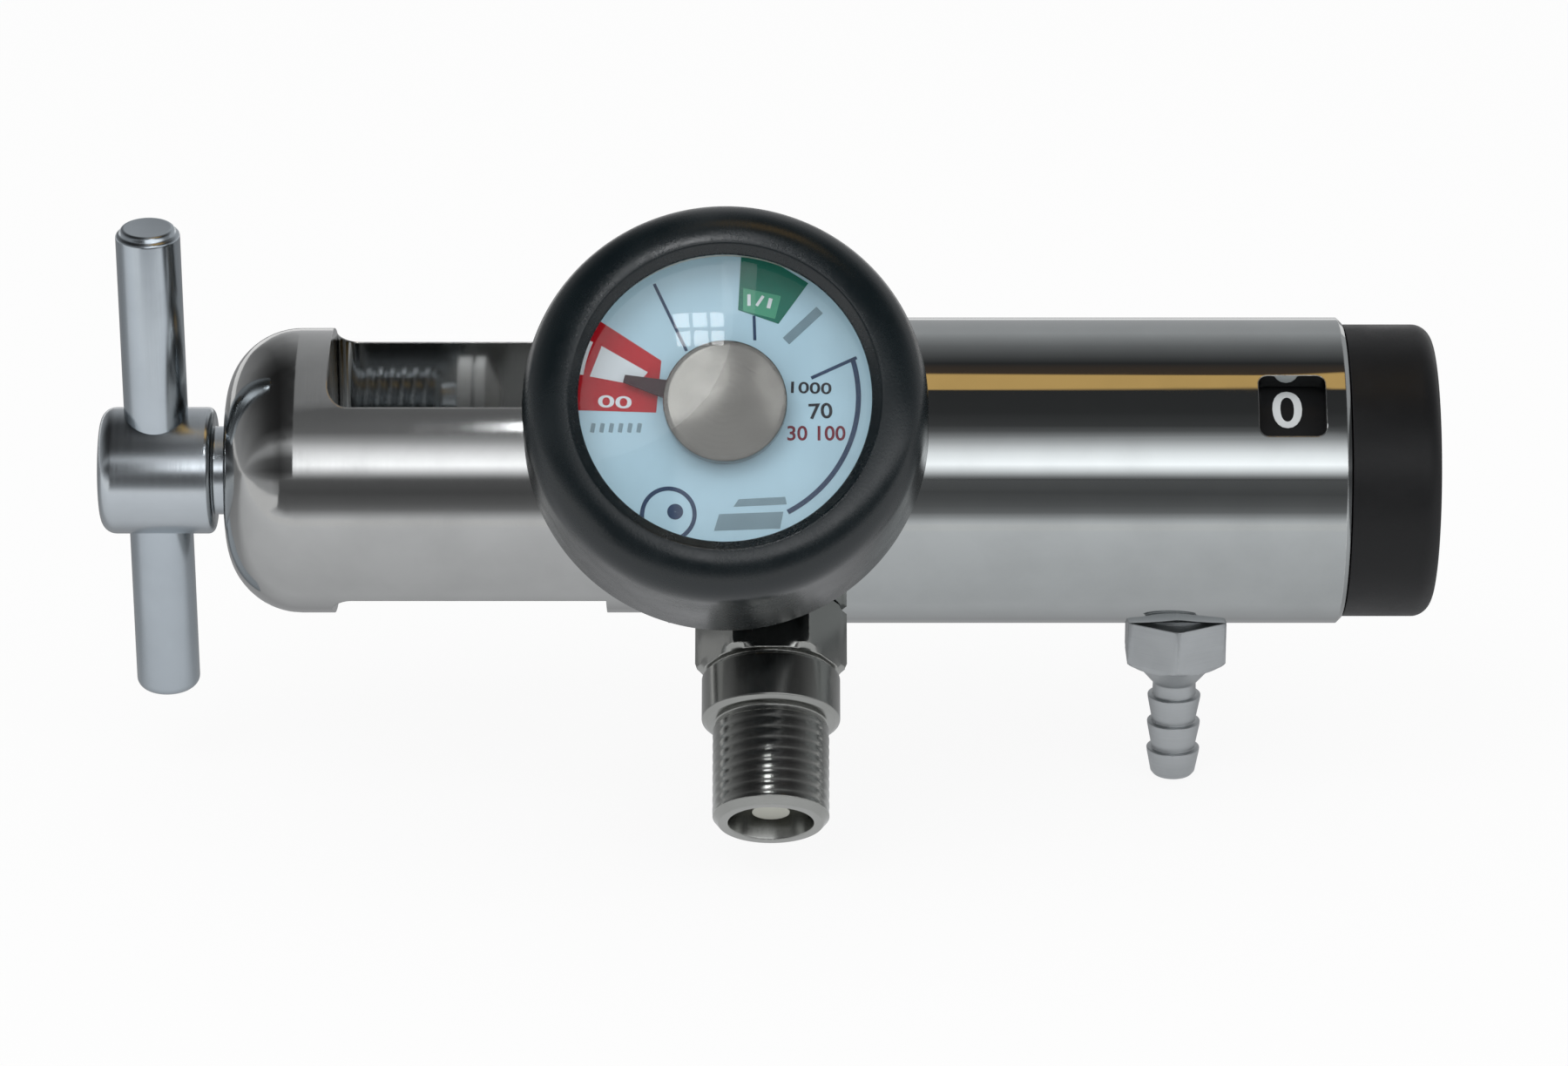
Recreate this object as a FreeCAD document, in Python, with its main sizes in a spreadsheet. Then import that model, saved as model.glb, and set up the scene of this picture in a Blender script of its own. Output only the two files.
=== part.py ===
import FreeCAD, Part
import math
import os
import Sketcher

# Frame, in millimetres: +X runs along the barrel from the tee handle to the knob, +Z is up as the
# regulator hangs on a cylinder valve, and the gauge faces -Y. The origin is the middle of the
# sealing face, where the inlet nipple leaves the yoke.

# The driving sizes. Every other size below is worked out from these.
SIZES = {
    # yoke and its slot
    "yoke_radius": 17.75,
    "yoke_reach": 47.3,
    "yoke_end_round": 9.3,
    "slot_length": 34.0,
    "slot_width": 24.8,
    "slot_corner": 2.5,
    "wall_length": 7.0,
    "pad_pocket_radius": 6.8,
    "pad_pocket_depth": 3.0,
    # barrel
    "barrel_radius": 19.05,
    "barrel_wall": 3.05,
    "barrel_end": 91.3,
    "barrel_chamfer": 0.6,
    # window for the flow number
    "window_station": 84.1,
    "window_tilt": 45.0,
    "window_width": 8.2,
    "window_corner": 1.2,
    # inlet and its pins
    "nipple_radius": 3.2,
    "nipple_reach": 6.0,
    "nipple_thread_radius": 4.0,
    "nipple_thread_length": 7.5,
    "nipple_bore": 1.25,
    "filter_radius": 2.5,
    "filter_length": 4.4,
    "washer_land_radius": 2.7,
    "washer_radius": 5.5,
    "washer_seal_radius": 4.3,
    "washer_thickness": 2.4,
    "washer_band_drop": 0.2,
    "pin_radius": 1.98,
    "pin_reach": 6.0,
    "pin_root": 5.8,
    "pin_root_radius": 1.7,
    "pin_circle": 14.29,
    "pin_angle": 18.0,
    # regulator chamber, nozzle and piston
    "passage_radius": 1.5,
    "nozzle_start": 16.5,
    "nozzle_radius": 3.0,
    "nozzle_tip_radius": 1.3,
    "nozzle_bore": 0.6,
    "chamber_start": 18.0,
    "nozzle_tip": 18.9,
    "chamber_radius": 4.5,
    "chamber_end": 24.5,
    "stem_radius": 3.0,
    "stem_guide_end": 30.0,
    "piston_gap": 1.0,
    "piston_seat_radius": 1.6,
    "piston_seat_length": 1.3,
    "piston_bore": 12.0,
    "piston_head_start": 44.0,
    "piston_head_length": 6.0,
    "piston_passage": 1.0,
    "cross_hole_radius": 0.8,
    "cross_hole_station": 22.8,
    "spring_radius": 10.5,
    "spring_wire": 1.4,
    "spring_turns": 4.0,
    "body_end": 56.0,
    # square-cut seal rings
    "seal_depth": 1.2,
    "seal_width": 1.9,
    # flow block, orifice disc and spindle
    "spigot_length": 5.0,
    "block_end": 78.0,
    "disc_chamber_radius": 9.5,
    "disc_chamber_depth": 1.5,
    "disc_radius": 9.0,
    "disc_thickness": 1.5,
    "orifice_circle": 6.8,
    "orifice_smallest": 0.15,
    "orifice_step": 0.06,
    "flow_passage": 1.2,
    "face_seal_radius": 2.2,
    "face_seal_depth": 1.2,
    "spindle_radius": 3.0,
    "spindle_seal_station": 62.0,
    "drive_flats": 4.6,
    "nut_flats": 5.5,
    "nut_length": 2.2,
    "stub_radius": 1.5,
    "stub_reach": 3.5,
    # detent
    "ball_radius": 2.0,
    "ball_gap": 0.1,
    "detent_inset": 6.5,
    "detent_angle": 135.0,
    "detent_depth": 8.0,
    "detent_wire": 0.4,
    "detent_turns": 4.0,
    "dimple_radius": 1.1,
    "dimple_depth": 0.5,
    # retaining ring
    "ring_groove_depth": 0.9,
    "ring_thickness": 1.1,
    "ring_width": 2.7,
    "ring_opening": 40.0,
    # number ring
    "number_web_start": 80.0,
    "number_web": 2.0,
    "number_ring_gap": 0.4,
    "number_ring_wall": 1.4,
    "number_ring_length": 10.2,
    # knob
    "knob_step": 0.85,
    "knob_length": 11.0,
    "knob_gap": 0.2,
    "knob_round": 2.4,
    "knob_shell": 2.2,
    "knob_face": 4.6,
    "knob_hub_radius": 7.0,
    "spindle_end": 95.0,
    "knob_web": 3.0,
    "screw_radius": 1.5,
    "screw_grip": 7.0,
    "screw_hole_depth": 5.0,
    "screw_head_radius": 2.8,
    "screw_head_length": 2.0,
    "screw_socket_flats": 2.0,
    "screw_recess_radius": 4.5,
    "cap_radius": 6.0,
    "cap_thickness": 1.0,
    # tee handle
    "tee_hub_radius": 7.9,
    "tee_hub_length": 14.2,
    "tee_hub_chamfer": 1.8,
    "tee_neck_radius": 5.5,
    "tee_neck_length": 1.6,
    "tee_thread_radius": 5.0,
    "tee_thread_end": 22.0,
    "tee_nose_radius": 3.0,
    "tee_bar_radius": 3.97,
    "tee_bar_length": 63.2,
    "tee_bar_offset": 1.5,
    "tee_bar_lean": 6.0,
    "tee_bar_chamfer": 0.9,
    # swivel pad
    "pad_start": 19.7,
    "pad_radius": 6.2,
    "pad_ring_length": 1.8,
    "pad_groove_length": 0.4,
    "pad_groove_depth": 0.8,
    "pad_front_length": 1.3,
    "pad_tip": 14.4,
    "pad_tip_radius": 2.2,
    "pad_bore_length": 3.4,
    "clip_start": 18.8,
    "clip_thickness": 0.6,
    "clip_radius": 3.8,
    "clip_inner_radius": 2.5,
    # gauge, with its heights measured outward from the barrel or the piece before
    "gauge_station": 15.0,
    "gauge_tilt": 32.0,
    "gauge_port_floor": 8.0,
    "gauge_thread_radius": 5.0,
    "gauge_passage": 0.75,
    "gauge_collar_radius": 6.0,
    "case_standoff": 3.45,
    "gauge_case_wall": 1.0,
    "gauge_neck_radius": 4.0,
    "gauge_socket_length": 4.5,
    "gauge_case_radius": 19.8,
    "gauge_ledge_wall": 2.8,
    "gauge_cup_wall": 1.0,
    "dial_height": 13.4,
    "dial_thickness": 0.5,
    "lens_height": 3.7,
    "lens_edge": 0.8,
    "lens_dome": 1.9,
    "lens_flange": 1.8,
    "lens_thickness": 1.2,
    "bezel_skirt": 3.1,
    "bezel_wall": 0.6,
    "bezel_lip_reach": 1.5,
    "bezel_lip": 0.7,
    "boot_back": 1.9,
    "boot_rim": 3.0,
    "boot_wall": 4.3,
    "boot_taper": 0.5,
    "boot_rear_round": 2.0,
    "boot_shoulder_round": 5.6,
    "boot_crest": 0.2,
    "boot_lip_reach": 2.45,
    "coil_turns": 4.5,
    "coil_pitch": 2.0,
    "coil_width": 1.5,
    "coil_depth": 0.9,
    "coil_gap": 2.1,
    "arbor_radius": 0.6,
    "arbor_reach": 1.0,
    "arbor_plate": 0.6,
    "pointer_gap": 0.8,
    "pointer_thickness": 0.4,
    "pointer_angle": 165.5,
    "pointer_length": 12.4,
    "pointer_tip_width": 0.9,
    "pointer_root_width": 3.4,
    "pointer_hub_radius": 5.0,
    "cap_dome_radius": 7.6,
    "cap_dome_rise": 1.5,
    "cap_dome_edge": 0.4,
    # threaded outlet, with its lengths stacked outward from the barrel
    "outlet_station": 20.4,
    "outlet_tilt": -45.0,
    "outlet_port_floor": 10.5,
    "outlet_thread_radius": 5.5,
    "outlet_neck_radius": 6.2,
    "outlet_hex_flats": 17.5,
    "outlet_hex_length": 8.4,
    "outlet_collar_radius": 8.5,
    "outlet_collar_length": 7.0,
    "outlet_radius": 7.14,
    "outlet_thread_length": 13.0,
    "outlet_chamfer": 0.9,
    "outlet_cavity_depth": 23.5,
    "outlet_cavity_radius": 4.6,
    "outlet_seat_depth": 9.5,
    "outlet_seat_length": 5.5,
    "outlet_seat_radius": 5.2,
    "outlet_seat_bore": 2.6,
    "poppet_head_radius": 4.3,
    "poppet_head_length": 3.4,
    "poppet_stem_radius": 2.3,
    "poppet_drop": 1.5,
    "poppet_tail_radius": 2.2,
    "poppet_tail_length": 5.5,
    "poppet_seal_outer": 4.1,
    "poppet_seal_length": 0.9,
    "poppet_spring_radius": 4.2,
    "poppet_spring_wire": 0.7,
    "poppet_spring_turns": 4.0,
    # hose barb, with its lengths stacked outward from the barrel
    "barb_station": 71.3,
    "barb_tilt": -90.0,
    "barb_port_floor": 10.0,
    "barb_thread_radius": 4.0,
    "barb_neck_radius": 4.6,
    "barb_hex_flats": 12.3,
    "barb_hex_length": 6.2,
    "barb_cone_radius": 5.2,
    "barb_cone_length": 3.0,
    "barb_stem_radius": 2.6,
    "barb_ridge_gap": 1.7,
    "barb_ridge_radius": 3.35,
    "barb_ridge_pitch": 3.6,
    "barb_bore": 1.3,
    # clearances
    "port_gap": 0.4,
    "port_seal_thickness": 0.8,
    "port_lift": 0.05,
    "screw_fit": 0.03,
    "slide_fit": 0.03,
    "seat_gap": 0.05,
}

FLOW_POSITIONS = 12
BARB_RIDGES = 3
HEX_CORNER = 1 / math.cos(math.radians(30))
HALF = 0.5
FULL_TURN = 360.0
RIGHT_ANGLE = 90.0
CUT_MARGIN = 1.0


class Size:
    """A size that carries both its value and the spreadsheet formula it comes from."""

    def __init__(self, value, formula):
        self.value = value
        self.formula = formula

    def _joined(self, other, sign, value):
        return Size(value, f"({self.formula} {sign} {as_size(other).formula})")

    def __add__(self, other):
        return self._joined(other, "+", self.value + as_size(other).value)

    def __sub__(self, other):
        return self._joined(other, "-", self.value - as_size(other).value)

    def __mul__(self, other):
        return self._joined(other, "*", self.value * as_size(other).value)

    def __truediv__(self, other):
        return self._joined(other, "/", self.value / as_size(other).value)

    def __neg__(self):
        return Size(-self.value, f"(-1 * {self.formula})")

    def cosine(self):
        return Size(math.cos(math.radians(self.value)), f"cos({self.formula})")

    def sine(self):
        return Size(math.sin(math.radians(self.value)), f"sin({self.formula})")


def as_size(number):
    if isinstance(number, Size):
        return number
    return Size(float(number), f"{float(number)!r}")


class SizeSheet:
    """The spreadsheet of driving sizes, read by name."""

    def __init__(self, document, sizes):
        self.sheet = document.addObject("Spreadsheet::Sheet", "Sizes")
        for row, (alias, value) in enumerate(sizes.items(), start=1):
            self.sheet.set(f"A{row}", alias)
            self.sheet.set(f"B{row}", str(value))
            self.sheet.setAlias(f"B{row}", alias)
        document.recompute()

    def __getattr__(self, alias):
        return Size(float(self.sheet.get(alias)), f"Sizes.{alias}")


class Place:
    """A position and direction, kept as a placement formula for the document."""

    def __init__(self, formula):
        self.formula = formula

    def then(self, other):
        return Place(f"{self.formula} * {other.formula}")


doc = FreeCAD.newDocument("oxygen_regulator")
size = SizeSheet(doc, SIZES)
AXIS = as_size(0)


def shifted(x=AXIS, y=AXIS, z=AXIS):
    return Place(
        f"placement(vector({as_size(x).formula}; {as_size(y).formula}; {as_size(z).formula}); rotationx(0))"
    )


def turned_about_x(angle):
    return Place(f"placement(vector(0; 0; 0); rotationx({as_size(angle).formula}))")


def port_place(station, tilt):
    """Local X points out of the barrel at this tilt above the front, local Y along the barrel."""
    return Place(
        f"placement(vector({station.formula}; 0; 0); rotationx(-1 * {tilt.formula}) * rotationz(-90))"
    )


# Turns a sketch or cylinder that is made along Z so that it runs along local X.
ALONG_X = Place("placement(vector(0; 0; 0); rotation(vector(1; 1; 1); 120))")
GAUGE = port_place(size.gauge_station, size.gauge_tilt)
OUTLET = port_place(size.outlet_station, size.outlet_tilt)
BARB = port_place(size.barb_station, size.barb_tilt)
WINDOW = port_place(size.window_station, size.window_tilt)

# Sizes that several pieces share.
BARREL_BORE = size.barrel_radius - size.barrel_wall
BODY_RADIUS = BARREL_BORE - size.slide_fit
HEAD_END = size.piston_head_start + size.piston_head_length
BLOCK_SPIGOT = size.body_end - size.spigot_length
DISC_WALL = size.body_end + size.disc_chamber_depth
SEAL_RADIUS = size.stem_radius + size.seal_depth
GROOVE_WIDTH = size.seal_width + size.seat_gap * 2
STEM_GROOVE = size.chamber_end + (size.stem_guide_end - size.chamber_end - GROOVE_WIDTH) * HALF
HEAD_GROOVE = size.piston_head_start + (size.piston_head_length - GROOVE_WIDTH) * HALF
HEAD_GROOVE_FLOOR = size.piston_bore - size.seal_depth
SPINDLE_GROOVE_RADIUS = size.spindle_radius + size.seal_depth
SPIGOT_GROOVE = BLOCK_SPIGOT + (size.spigot_length - GROOVE_WIDTH) * HALF
KNOB_START = size.barrel_end + size.knob_gap
KNOB_END = KNOB_START + size.knob_length
KNOB_WEB_END = size.spindle_end + size.knob_web
CAP_SEAT = KNOB_END - size.cap_thickness - size.knob_gap
NUMBER_WEB_END = size.number_web_start + size.number_web
PISTON_FACE = size.nozzle_tip + size.piston_gap
HUB_RIGHT = -(size.yoke_reach + size.tee_neck_length)
HUB_LEFT = HUB_RIGHT - size.tee_hub_length
KNOB_RADIUS = size.barrel_radius - size.knob_step
NUMBER_RING_RADIUS = BARREL_BORE - size.number_ring_gap
DETENT_CIRCLE = BARREL_BORE - size.detent_inset
PORT_TOP = size.barrel_radius + size.port_lift
CASE_START = size.barrel_radius + size.case_standoff
GAUGE_SOCKET_END = CASE_START + size.gauge_case_wall + size.gauge_socket_length
COIL_START = CASE_START + size.coil_gap
DIAL_START = CASE_START + size.dial_height
POINTER_START = DIAL_START + size.dial_thickness + size.pointer_gap
CAP_DOME_START = POINTER_START + size.pointer_thickness
ARBOR_END = CAP_DOME_START + size.arbor_reach
LENS_START = DIAL_START + size.lens_height
BEZEL_START = LENS_START - size.bezel_skirt
CUP_RADIUS = size.gauge_case_radius - size.gauge_cup_wall
BOOT_RADIUS = size.gauge_case_radius + size.boot_wall
OUTLET_HEX_END = PORT_TOP + size.outlet_hex_length
OUTLET_COLLAR_END = OUTLET_HEX_END + size.outlet_collar_length
OUTLET_END = OUTLET_COLLAR_END + size.outlet_thread_length
OUTLET_CAVITY_START = OUTLET_END - size.outlet_cavity_depth
OUTLET_SEAT_START = OUTLET_END - size.outlet_seat_depth
BARB_HEX_END = PORT_TOP + size.barb_hex_length
BARB_CONE_END = BARB_HEX_END + size.barb_cone_length


def new_body(label, place=None):
    body = doc.addObject("PartDesign::Body", label)
    body.Label = label
    if place is not None:
        body.setExpression("Placement", place.formula)
    return body


def origin_plane(body, role):
    for feature in body.Origin.OriginFeatures:
        if feature.Role == role:
            return feature
    raise ValueError(f"{body.Label} has no {role}")


def new_sketch(body, role="XY_Plane", place=None):
    """A sketch on one of the body's own planes, or loose at a place."""
    sketch = body.newObject("Sketcher::SketchObject", f"{body.Label}_sketch")
    if place is None:
        sketch.AttachmentSupport = [(origin_plane(body, role), "")]
        sketch.MapMode = "FlatFace"
    else:
        sketch.setExpression("Placement", place.formula)
    return sketch


def bind(sketch, constraint, formula):
    index = sketch.addConstraint(constraint)
    sketch.setExpression(f"Constraints[{index}]", formula)


def arc_middle(start, end, radius):
    """The middle of a short arc that bulges left of its chord, or right for a minus radius."""
    chord = end - start
    half_chord = chord.Length * HALF
    depth = abs(radius) - math.sqrt(max(radius * radius - half_chord * half_chord, 0))
    left = FreeCAD.Vector(-chord.y, chord.x, 0).normalize()
    return (start + end) * HALF + left * math.copysign(depth, radius)


def draw_outline(sketch, corners):
    """Draw a closed outline. A corner with a third size is reached by an arc of that radius."""
    points = [FreeCAD.Vector(as_size(c[0]).value, as_size(c[1]).value, 0) for c in corners]
    count = len(corners)
    for index in range(count):
        following = (index + 1) % count
        corner = corners[following]
        if len(corner) > 2:
            middle = arc_middle(points[index], points[following], corner[2].value)
            edge = Part.Arc(points[index], middle, points[following])
        else:
            edge = Part.LineSegment(points[index], points[following])
        sketch.addGeometry(edge, False)
    for index in range(count):
        constrain_corner(sketch, corners, points, index)


def edge_ends(sketch, index, start):
    """The numbers of an edge's first and last points, because an arc may be stored backward."""
    if sketch.getPoint(index, 1).distanceToPoint(start) < sketch.getPoint(index, 2).distanceToPoint(start):
        return 1, 2
    return 2, 1


def constrain_corner(sketch, corners, points, index):
    following = (index + 1) % len(corners)
    first, last = edge_ends(sketch, index, points[index])
    next_first, _ = edge_ends(sketch, following, points[following])
    sketch.addConstraint(Sketcher.Constraint("Coincident", index, last, following, next_first))
    across, up = as_size(corners[index][0]), as_size(corners[index][1])
    bind(sketch, Sketcher.Constraint("DistanceX", -1, 1, index, first, across.value), across.formula)
    bind(sketch, Sketcher.Constraint("DistanceY", -1, 1, index, first, up.value), up.formula)
    reached = corners[following]
    if len(reached) > 2:
        radius = abs(reached[2].value)
        bind(sketch, Sketcher.Constraint("Radius", index, radius), f"abs({reached[2].formula})")


def turn(body, corners, sweep=None):
    """Turn an outline of (distance along the axis, radius) about the body's X axis."""
    sketch = new_sketch(body)
    draw_outline(sketch, corners)
    feature = body.newObject("PartDesign::Revolution", f"{body.Label}_turned")
    feature.Profile = sketch
    feature.ReferenceAxis = (sketch, ["H_Axis"])
    feature.Angle = FULL_TURN
    if sweep is not None:
        feature.setExpression("Angle", sweep.formula)
    return feature


def groove(body, corners):
    """Cut a turned outline out of the body."""
    sketch = new_sketch(body)
    draw_outline(sketch, corners)
    feature = body.newObject("PartDesign::Groove", f"{body.Label}_groove")
    feature.Profile = sketch
    feature.ReferenceAxis = (sketch, ["H_Axis"])
    feature.Angle = FULL_TURN
    return feature


def box_corners(start, end, inner, outer):
    return [(start, inner), (end, inner), (end, outer), (start, outer)]


def drill(body, place, start, length, radius):
    """Drill a hole along the place's X axis, from start, for a length."""
    hole = body.newObject("PartDesign::SubtractiveCylinder", f"{body.Label}_hole")
    hole.setExpression("Radius", as_size(radius).formula)
    hole.setExpression("Height", as_size(length).formula)
    hole.setExpression("Placement", place.then(shifted(start)).then(ALONG_X).formula)
    return hole


def hex_corners(flats):
    """The six corners of a hexagon, with two flats facing sideways."""
    reach = flats * HALF * HEX_CORNER
    corners = []
    for step in range(6):
        angle = as_size(step * 60 + 30)
        corners.append((reach * angle.cosine(), reach * angle.sine()))
    return corners


def hexagon(body, kind, start, length, flats):
    """Add or cut a hexagonal bar along local X."""
    sketch = new_sketch(body, place=shifted(start).then(ALONG_X))
    draw_outline(sketch, hex_corners(flats))
    feature = body.newObject(f"PartDesign::{kind}", f"{body.Label}_hexagon")
    feature.Profile = sketch
    feature.setExpression("Length", as_size(length).formula)
    return feature


def coil(body, start, length, outer, wire_depth, wire_width, turns):
    """A coil of flat-sided wire about local X, its whole length from start."""
    sketch = new_sketch(body)
    draw_outline(sketch, box_corners(start, start + wire_width, outer - wire_depth, outer))
    feature = body.newObject("PartDesign::AdditiveHelix", f"{body.Label}_helix")
    feature.Profile = sketch
    feature.ReferenceAxis = (sketch, ["H_Axis"])
    feature.Mode = "height-turns-angle"
    feature.setExpression("Height", (length - wire_width).formula)
    feature.setExpression("Turns", turns.formula)
    return feature


def seal_ring(label, start, inner, outer, place=None):
    """A square-cut seal ring that sits in a groove of this start, with a gap at both sides."""
    body = new_body(label, place)
    begin = start + size.seat_gap
    turn(body, box_corners(begin, begin + size.seal_width, inner, outer))
    return body


def yoke_outline():
    screw_bore = size.tee_thread_radius + size.screw_fit
    flat = size.yoke_radius - size.yoke_end_round
    left = -size.yoke_reach
    return [
        (left, screw_bore),
        (left, flat),
        (left + size.yoke_end_round, size.yoke_radius, size.yoke_end_round),
        (size.wall_length, size.yoke_radius),
        (size.wall_length, BODY_RADIUS),
        (size.body_end, BODY_RADIUS),
        (size.body_end, size.piston_bore),
        (size.stem_guide_end, size.piston_bore),
        (size.stem_guide_end, size.stem_radius),
        (size.chamber_end, size.stem_radius),
        (size.chamber_end, size.chamber_radius),
        (size.chamber_start, size.chamber_radius),
        (size.chamber_start, size.nozzle_radius),
        (size.nozzle_start, size.nozzle_radius),
        (size.nozzle_start, size.passage_radius),
        (size.nipple_thread_length, size.passage_radius),
        (size.nipple_thread_length, size.nipple_thread_radius),
        (-size.slot_length * HALF, size.nipple_thread_radius),
        (-size.slot_length * HALF, screw_bore),
    ]


def slot_corners():
    left, side, corner = -size.slot_length, size.slot_width * HALF, size.slot_corner
    return [
        (left + corner, -side, -corner),
        (AXIS, -side),
        (AXIS, side),
        (left + corner, side),
        (left, side - corner, -corner),
        (left, corner - side),
    ]


def make_yoke_body():
    body = new_body("yoke_body")
    turn(body, yoke_outline())
    cut_slot(body)
    pocket_start = -size.slot_length - size.pad_pocket_depth
    pocket_length = size.pad_pocket_depth + CUT_MARGIN
    drill(body, shifted(), pocket_start, pocket_length, size.pad_pocket_radius)
    groove(body, box_corners(STEM_GROOVE, STEM_GROOVE + GROOVE_WIDTH, size.stem_radius, SEAL_RADIUS))
    drill(body, shifted(), -CUT_MARGIN, size.washer_thickness + CUT_MARGIN, size.washer_radius + size.seat_gap)
    for side in (-1, 1):
        drill(body, pin_place(side), AXIS, size.pin_root, size.pin_root_radius)
    port_reach = size.barrel_radius
    drill(body, GAUGE, size.gauge_port_floor, port_reach, size.gauge_thread_radius)
    drill(body, GAUGE, AXIS, size.gauge_port_floor, size.gauge_passage)
    drill(body, OUTLET, size.outlet_port_floor, port_reach, size.outlet_thread_radius)
    outlet_passage_start = size.chamber_radius - CUT_MARGIN
    drill(body, OUTLET, outlet_passage_start, size.outlet_port_floor, size.passage_radius)


def cut_slot(body):
    sketch = new_sketch(body)
    draw_outline(sketch, slot_corners())
    feature = body.newObject("PartDesign::Pocket", "slot")
    feature.Profile = sketch
    feature.setExpression("Length", (size.yoke_radius * 4).formula)
    feature.Midplane = True


def pin_place(side):
    angle = size.pin_angle
    across = size.pin_circle * angle.sine() * side
    down = -(size.pin_circle * angle.cosine())
    return shifted(AXIS, across, down)


def make_index_pins():
    for label, side in (("front_index_pin", -1), ("rear_index_pin", 1)):
        body = new_body(label, pin_place(side))
        tip = -size.pin_reach
        chamfer = size.pin_radius * 0.2
        turn(body, [
            (tip, AXIS),
            (tip, size.pin_radius - chamfer),
            (tip + chamfer, size.pin_radius),
            (AXIS, size.pin_radius),
            (AXIS, size.pin_root_radius),
            (size.pin_root, size.pin_root_radius),
            (size.pin_root, AXIS),
        ])


def make_inlet():
    tip = -size.nipple_reach
    thread = size.nipple_thread_radius - size.screw_fit
    filter_start = size.nipple_thread_length - size.filter_length
    chamfer = size.nipple_radius * 0.15
    nipple = new_body("inlet_nipple")
    turn(nipple, [
        (tip, size.nipple_bore),
        (tip, size.nipple_radius - chamfer),
        (tip + chamfer, size.nipple_radius),
        (AXIS, size.nipple_radius),
        (AXIS, size.washer_land_radius),
        (size.washer_thickness, size.washer_land_radius),
        (size.washer_thickness, thread),
        (size.nipple_thread_length, thread),
        (size.nipple_thread_length, size.filter_radius),
        (filter_start, size.filter_radius),
        (filter_start, size.nipple_bore),
    ])
    inlet_filter = new_body("inlet_filter")
    turn(inlet_filter, box_corners(filter_start, size.nipple_thread_length, AXIS, size.filter_radius))
    band = new_body("washer_band")
    seal_edge = size.washer_seal_radius
    turn(band, box_corners(size.washer_band_drop, size.washer_thickness, seal_edge, size.washer_radius))
    seal = new_body("washer_seal")
    seal_bore = size.washer_land_radius + size.seat_gap
    turn(seal, box_corners(AXIS, size.washer_thickness, seal_bore, seal_edge))


def make_barrel():
    body = new_body("barrel")
    end, radius, chamfer = size.barrel_end, size.barrel_radius, size.barrel_chamfer
    turn(body, [
        (size.wall_length, BARREL_BORE),
        (end, BARREL_BORE),
        (end, radius - chamfer),
        (end - chamfer, radius),
        (size.wall_length + chamfer, radius),
        (size.wall_length, radius - chamfer),
    ])
    ring_start = size.block_end + size.seat_gap
    ring_end = ring_start + size.ring_thickness + size.seat_gap * 2
    ring_floor = BARREL_BORE + size.ring_groove_depth
    groove(body, box_corners(ring_start, ring_end, BARREL_BORE - CUT_MARGIN, ring_floor))
    reach = size.barrel_radius + CUT_MARGIN
    drill(body, GAUGE, AXIS, reach, size.gauge_collar_radius + size.port_gap)
    drill(body, OUTLET, AXIS, reach, size.outlet_neck_radius + size.port_gap)
    drill(body, BARB, AXIS, reach, size.barb_neck_radius + size.port_gap)
    cut_window(body)


def cut_window(body):
    sketch = new_sketch(body, place=WINDOW.then(shifted(size.barrel_radius + CUT_MARGIN)).then(ALONG_X))
    half, corner = size.window_width * HALF, size.window_corner
    inner = half - corner
    draw_outline(sketch, [
        (-half, -inner),
        (-inner, -half, -corner),
        (inner, -half),
        (half, -inner, -corner),
        (half, inner),
        (inner, half, -corner),
        (-inner, half),
        (-half, inner, -corner),
    ])
    feature = body.newObject("PartDesign::Pocket", "window")
    feature.Profile = sketch
    feature.setExpression("Length", (size.barrel_wall + CUT_MARGIN * 2).formula)


def make_valve_nozzle():
    body = new_body("valve_nozzle")
    tip, start = size.nozzle_tip, size.nozzle_start
    thread = size.nozzle_radius - size.screw_fit
    turn(body, [
        (start, size.nozzle_bore),
        (start, thread),
        (size.chamber_start, thread),
        (tip, size.nozzle_tip_radius),
        (tip, size.nozzle_bore),
    ])


def make_piston():
    body = new_body("piston")
    start, head, end = PISTON_FACE, size.piston_head_start, HEAD_END
    stem = size.stem_radius - size.slide_fit
    head_radius = size.piston_bore - size.slide_fit
    pocket_end = start + size.piston_seat_length
    turn(body, [
        (start, size.piston_seat_radius),
        (start, stem),
        (head, stem),
        (head, head_radius),
        (HEAD_GROOVE, head_radius),
        (HEAD_GROOVE, HEAD_GROOVE_FLOOR),
        (HEAD_GROOVE + GROOVE_WIDTH, HEAD_GROOVE_FLOOR),
        (HEAD_GROOVE + GROOVE_WIDTH, head_radius),
        (end, head_radius),
        (end, AXIS),
        (pocket_end, AXIS),
        (pocket_end, size.piston_seat_radius),
    ])
    bore_start = size.cross_hole_station - size.cross_hole_radius
    drill(body, shifted(), bore_start, end, size.piston_passage)
    across = shifted(size.cross_hole_station).then(Place("placement(vector(0; 0; 0); rotationz(90))"))
    drill(body, across, -size.stem_radius * 2, size.stem_radius * 4, size.cross_hole_radius)
    seat = new_body("piston_seat")
    turn(seat, box_corners(start, pocket_end, AXIS, size.piston_seat_radius))
    seal_ring("piston_stem_seal", STEM_GROOVE, size.stem_radius, SEAL_RADIUS)
    seal_ring("piston_head_seal", HEAD_GROOVE, HEAD_GROOVE_FLOOR, size.piston_bore - size.slide_fit * HALF)


def make_piston_spring():
    body = new_body("piston_spring")
    start = size.stem_guide_end + size.seat_gap
    length = size.piston_head_start - size.stem_guide_end - size.seat_gap * 2
    coil(body, start, length, size.spring_radius, size.spring_wire, size.spring_wire, size.spring_turns)


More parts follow.
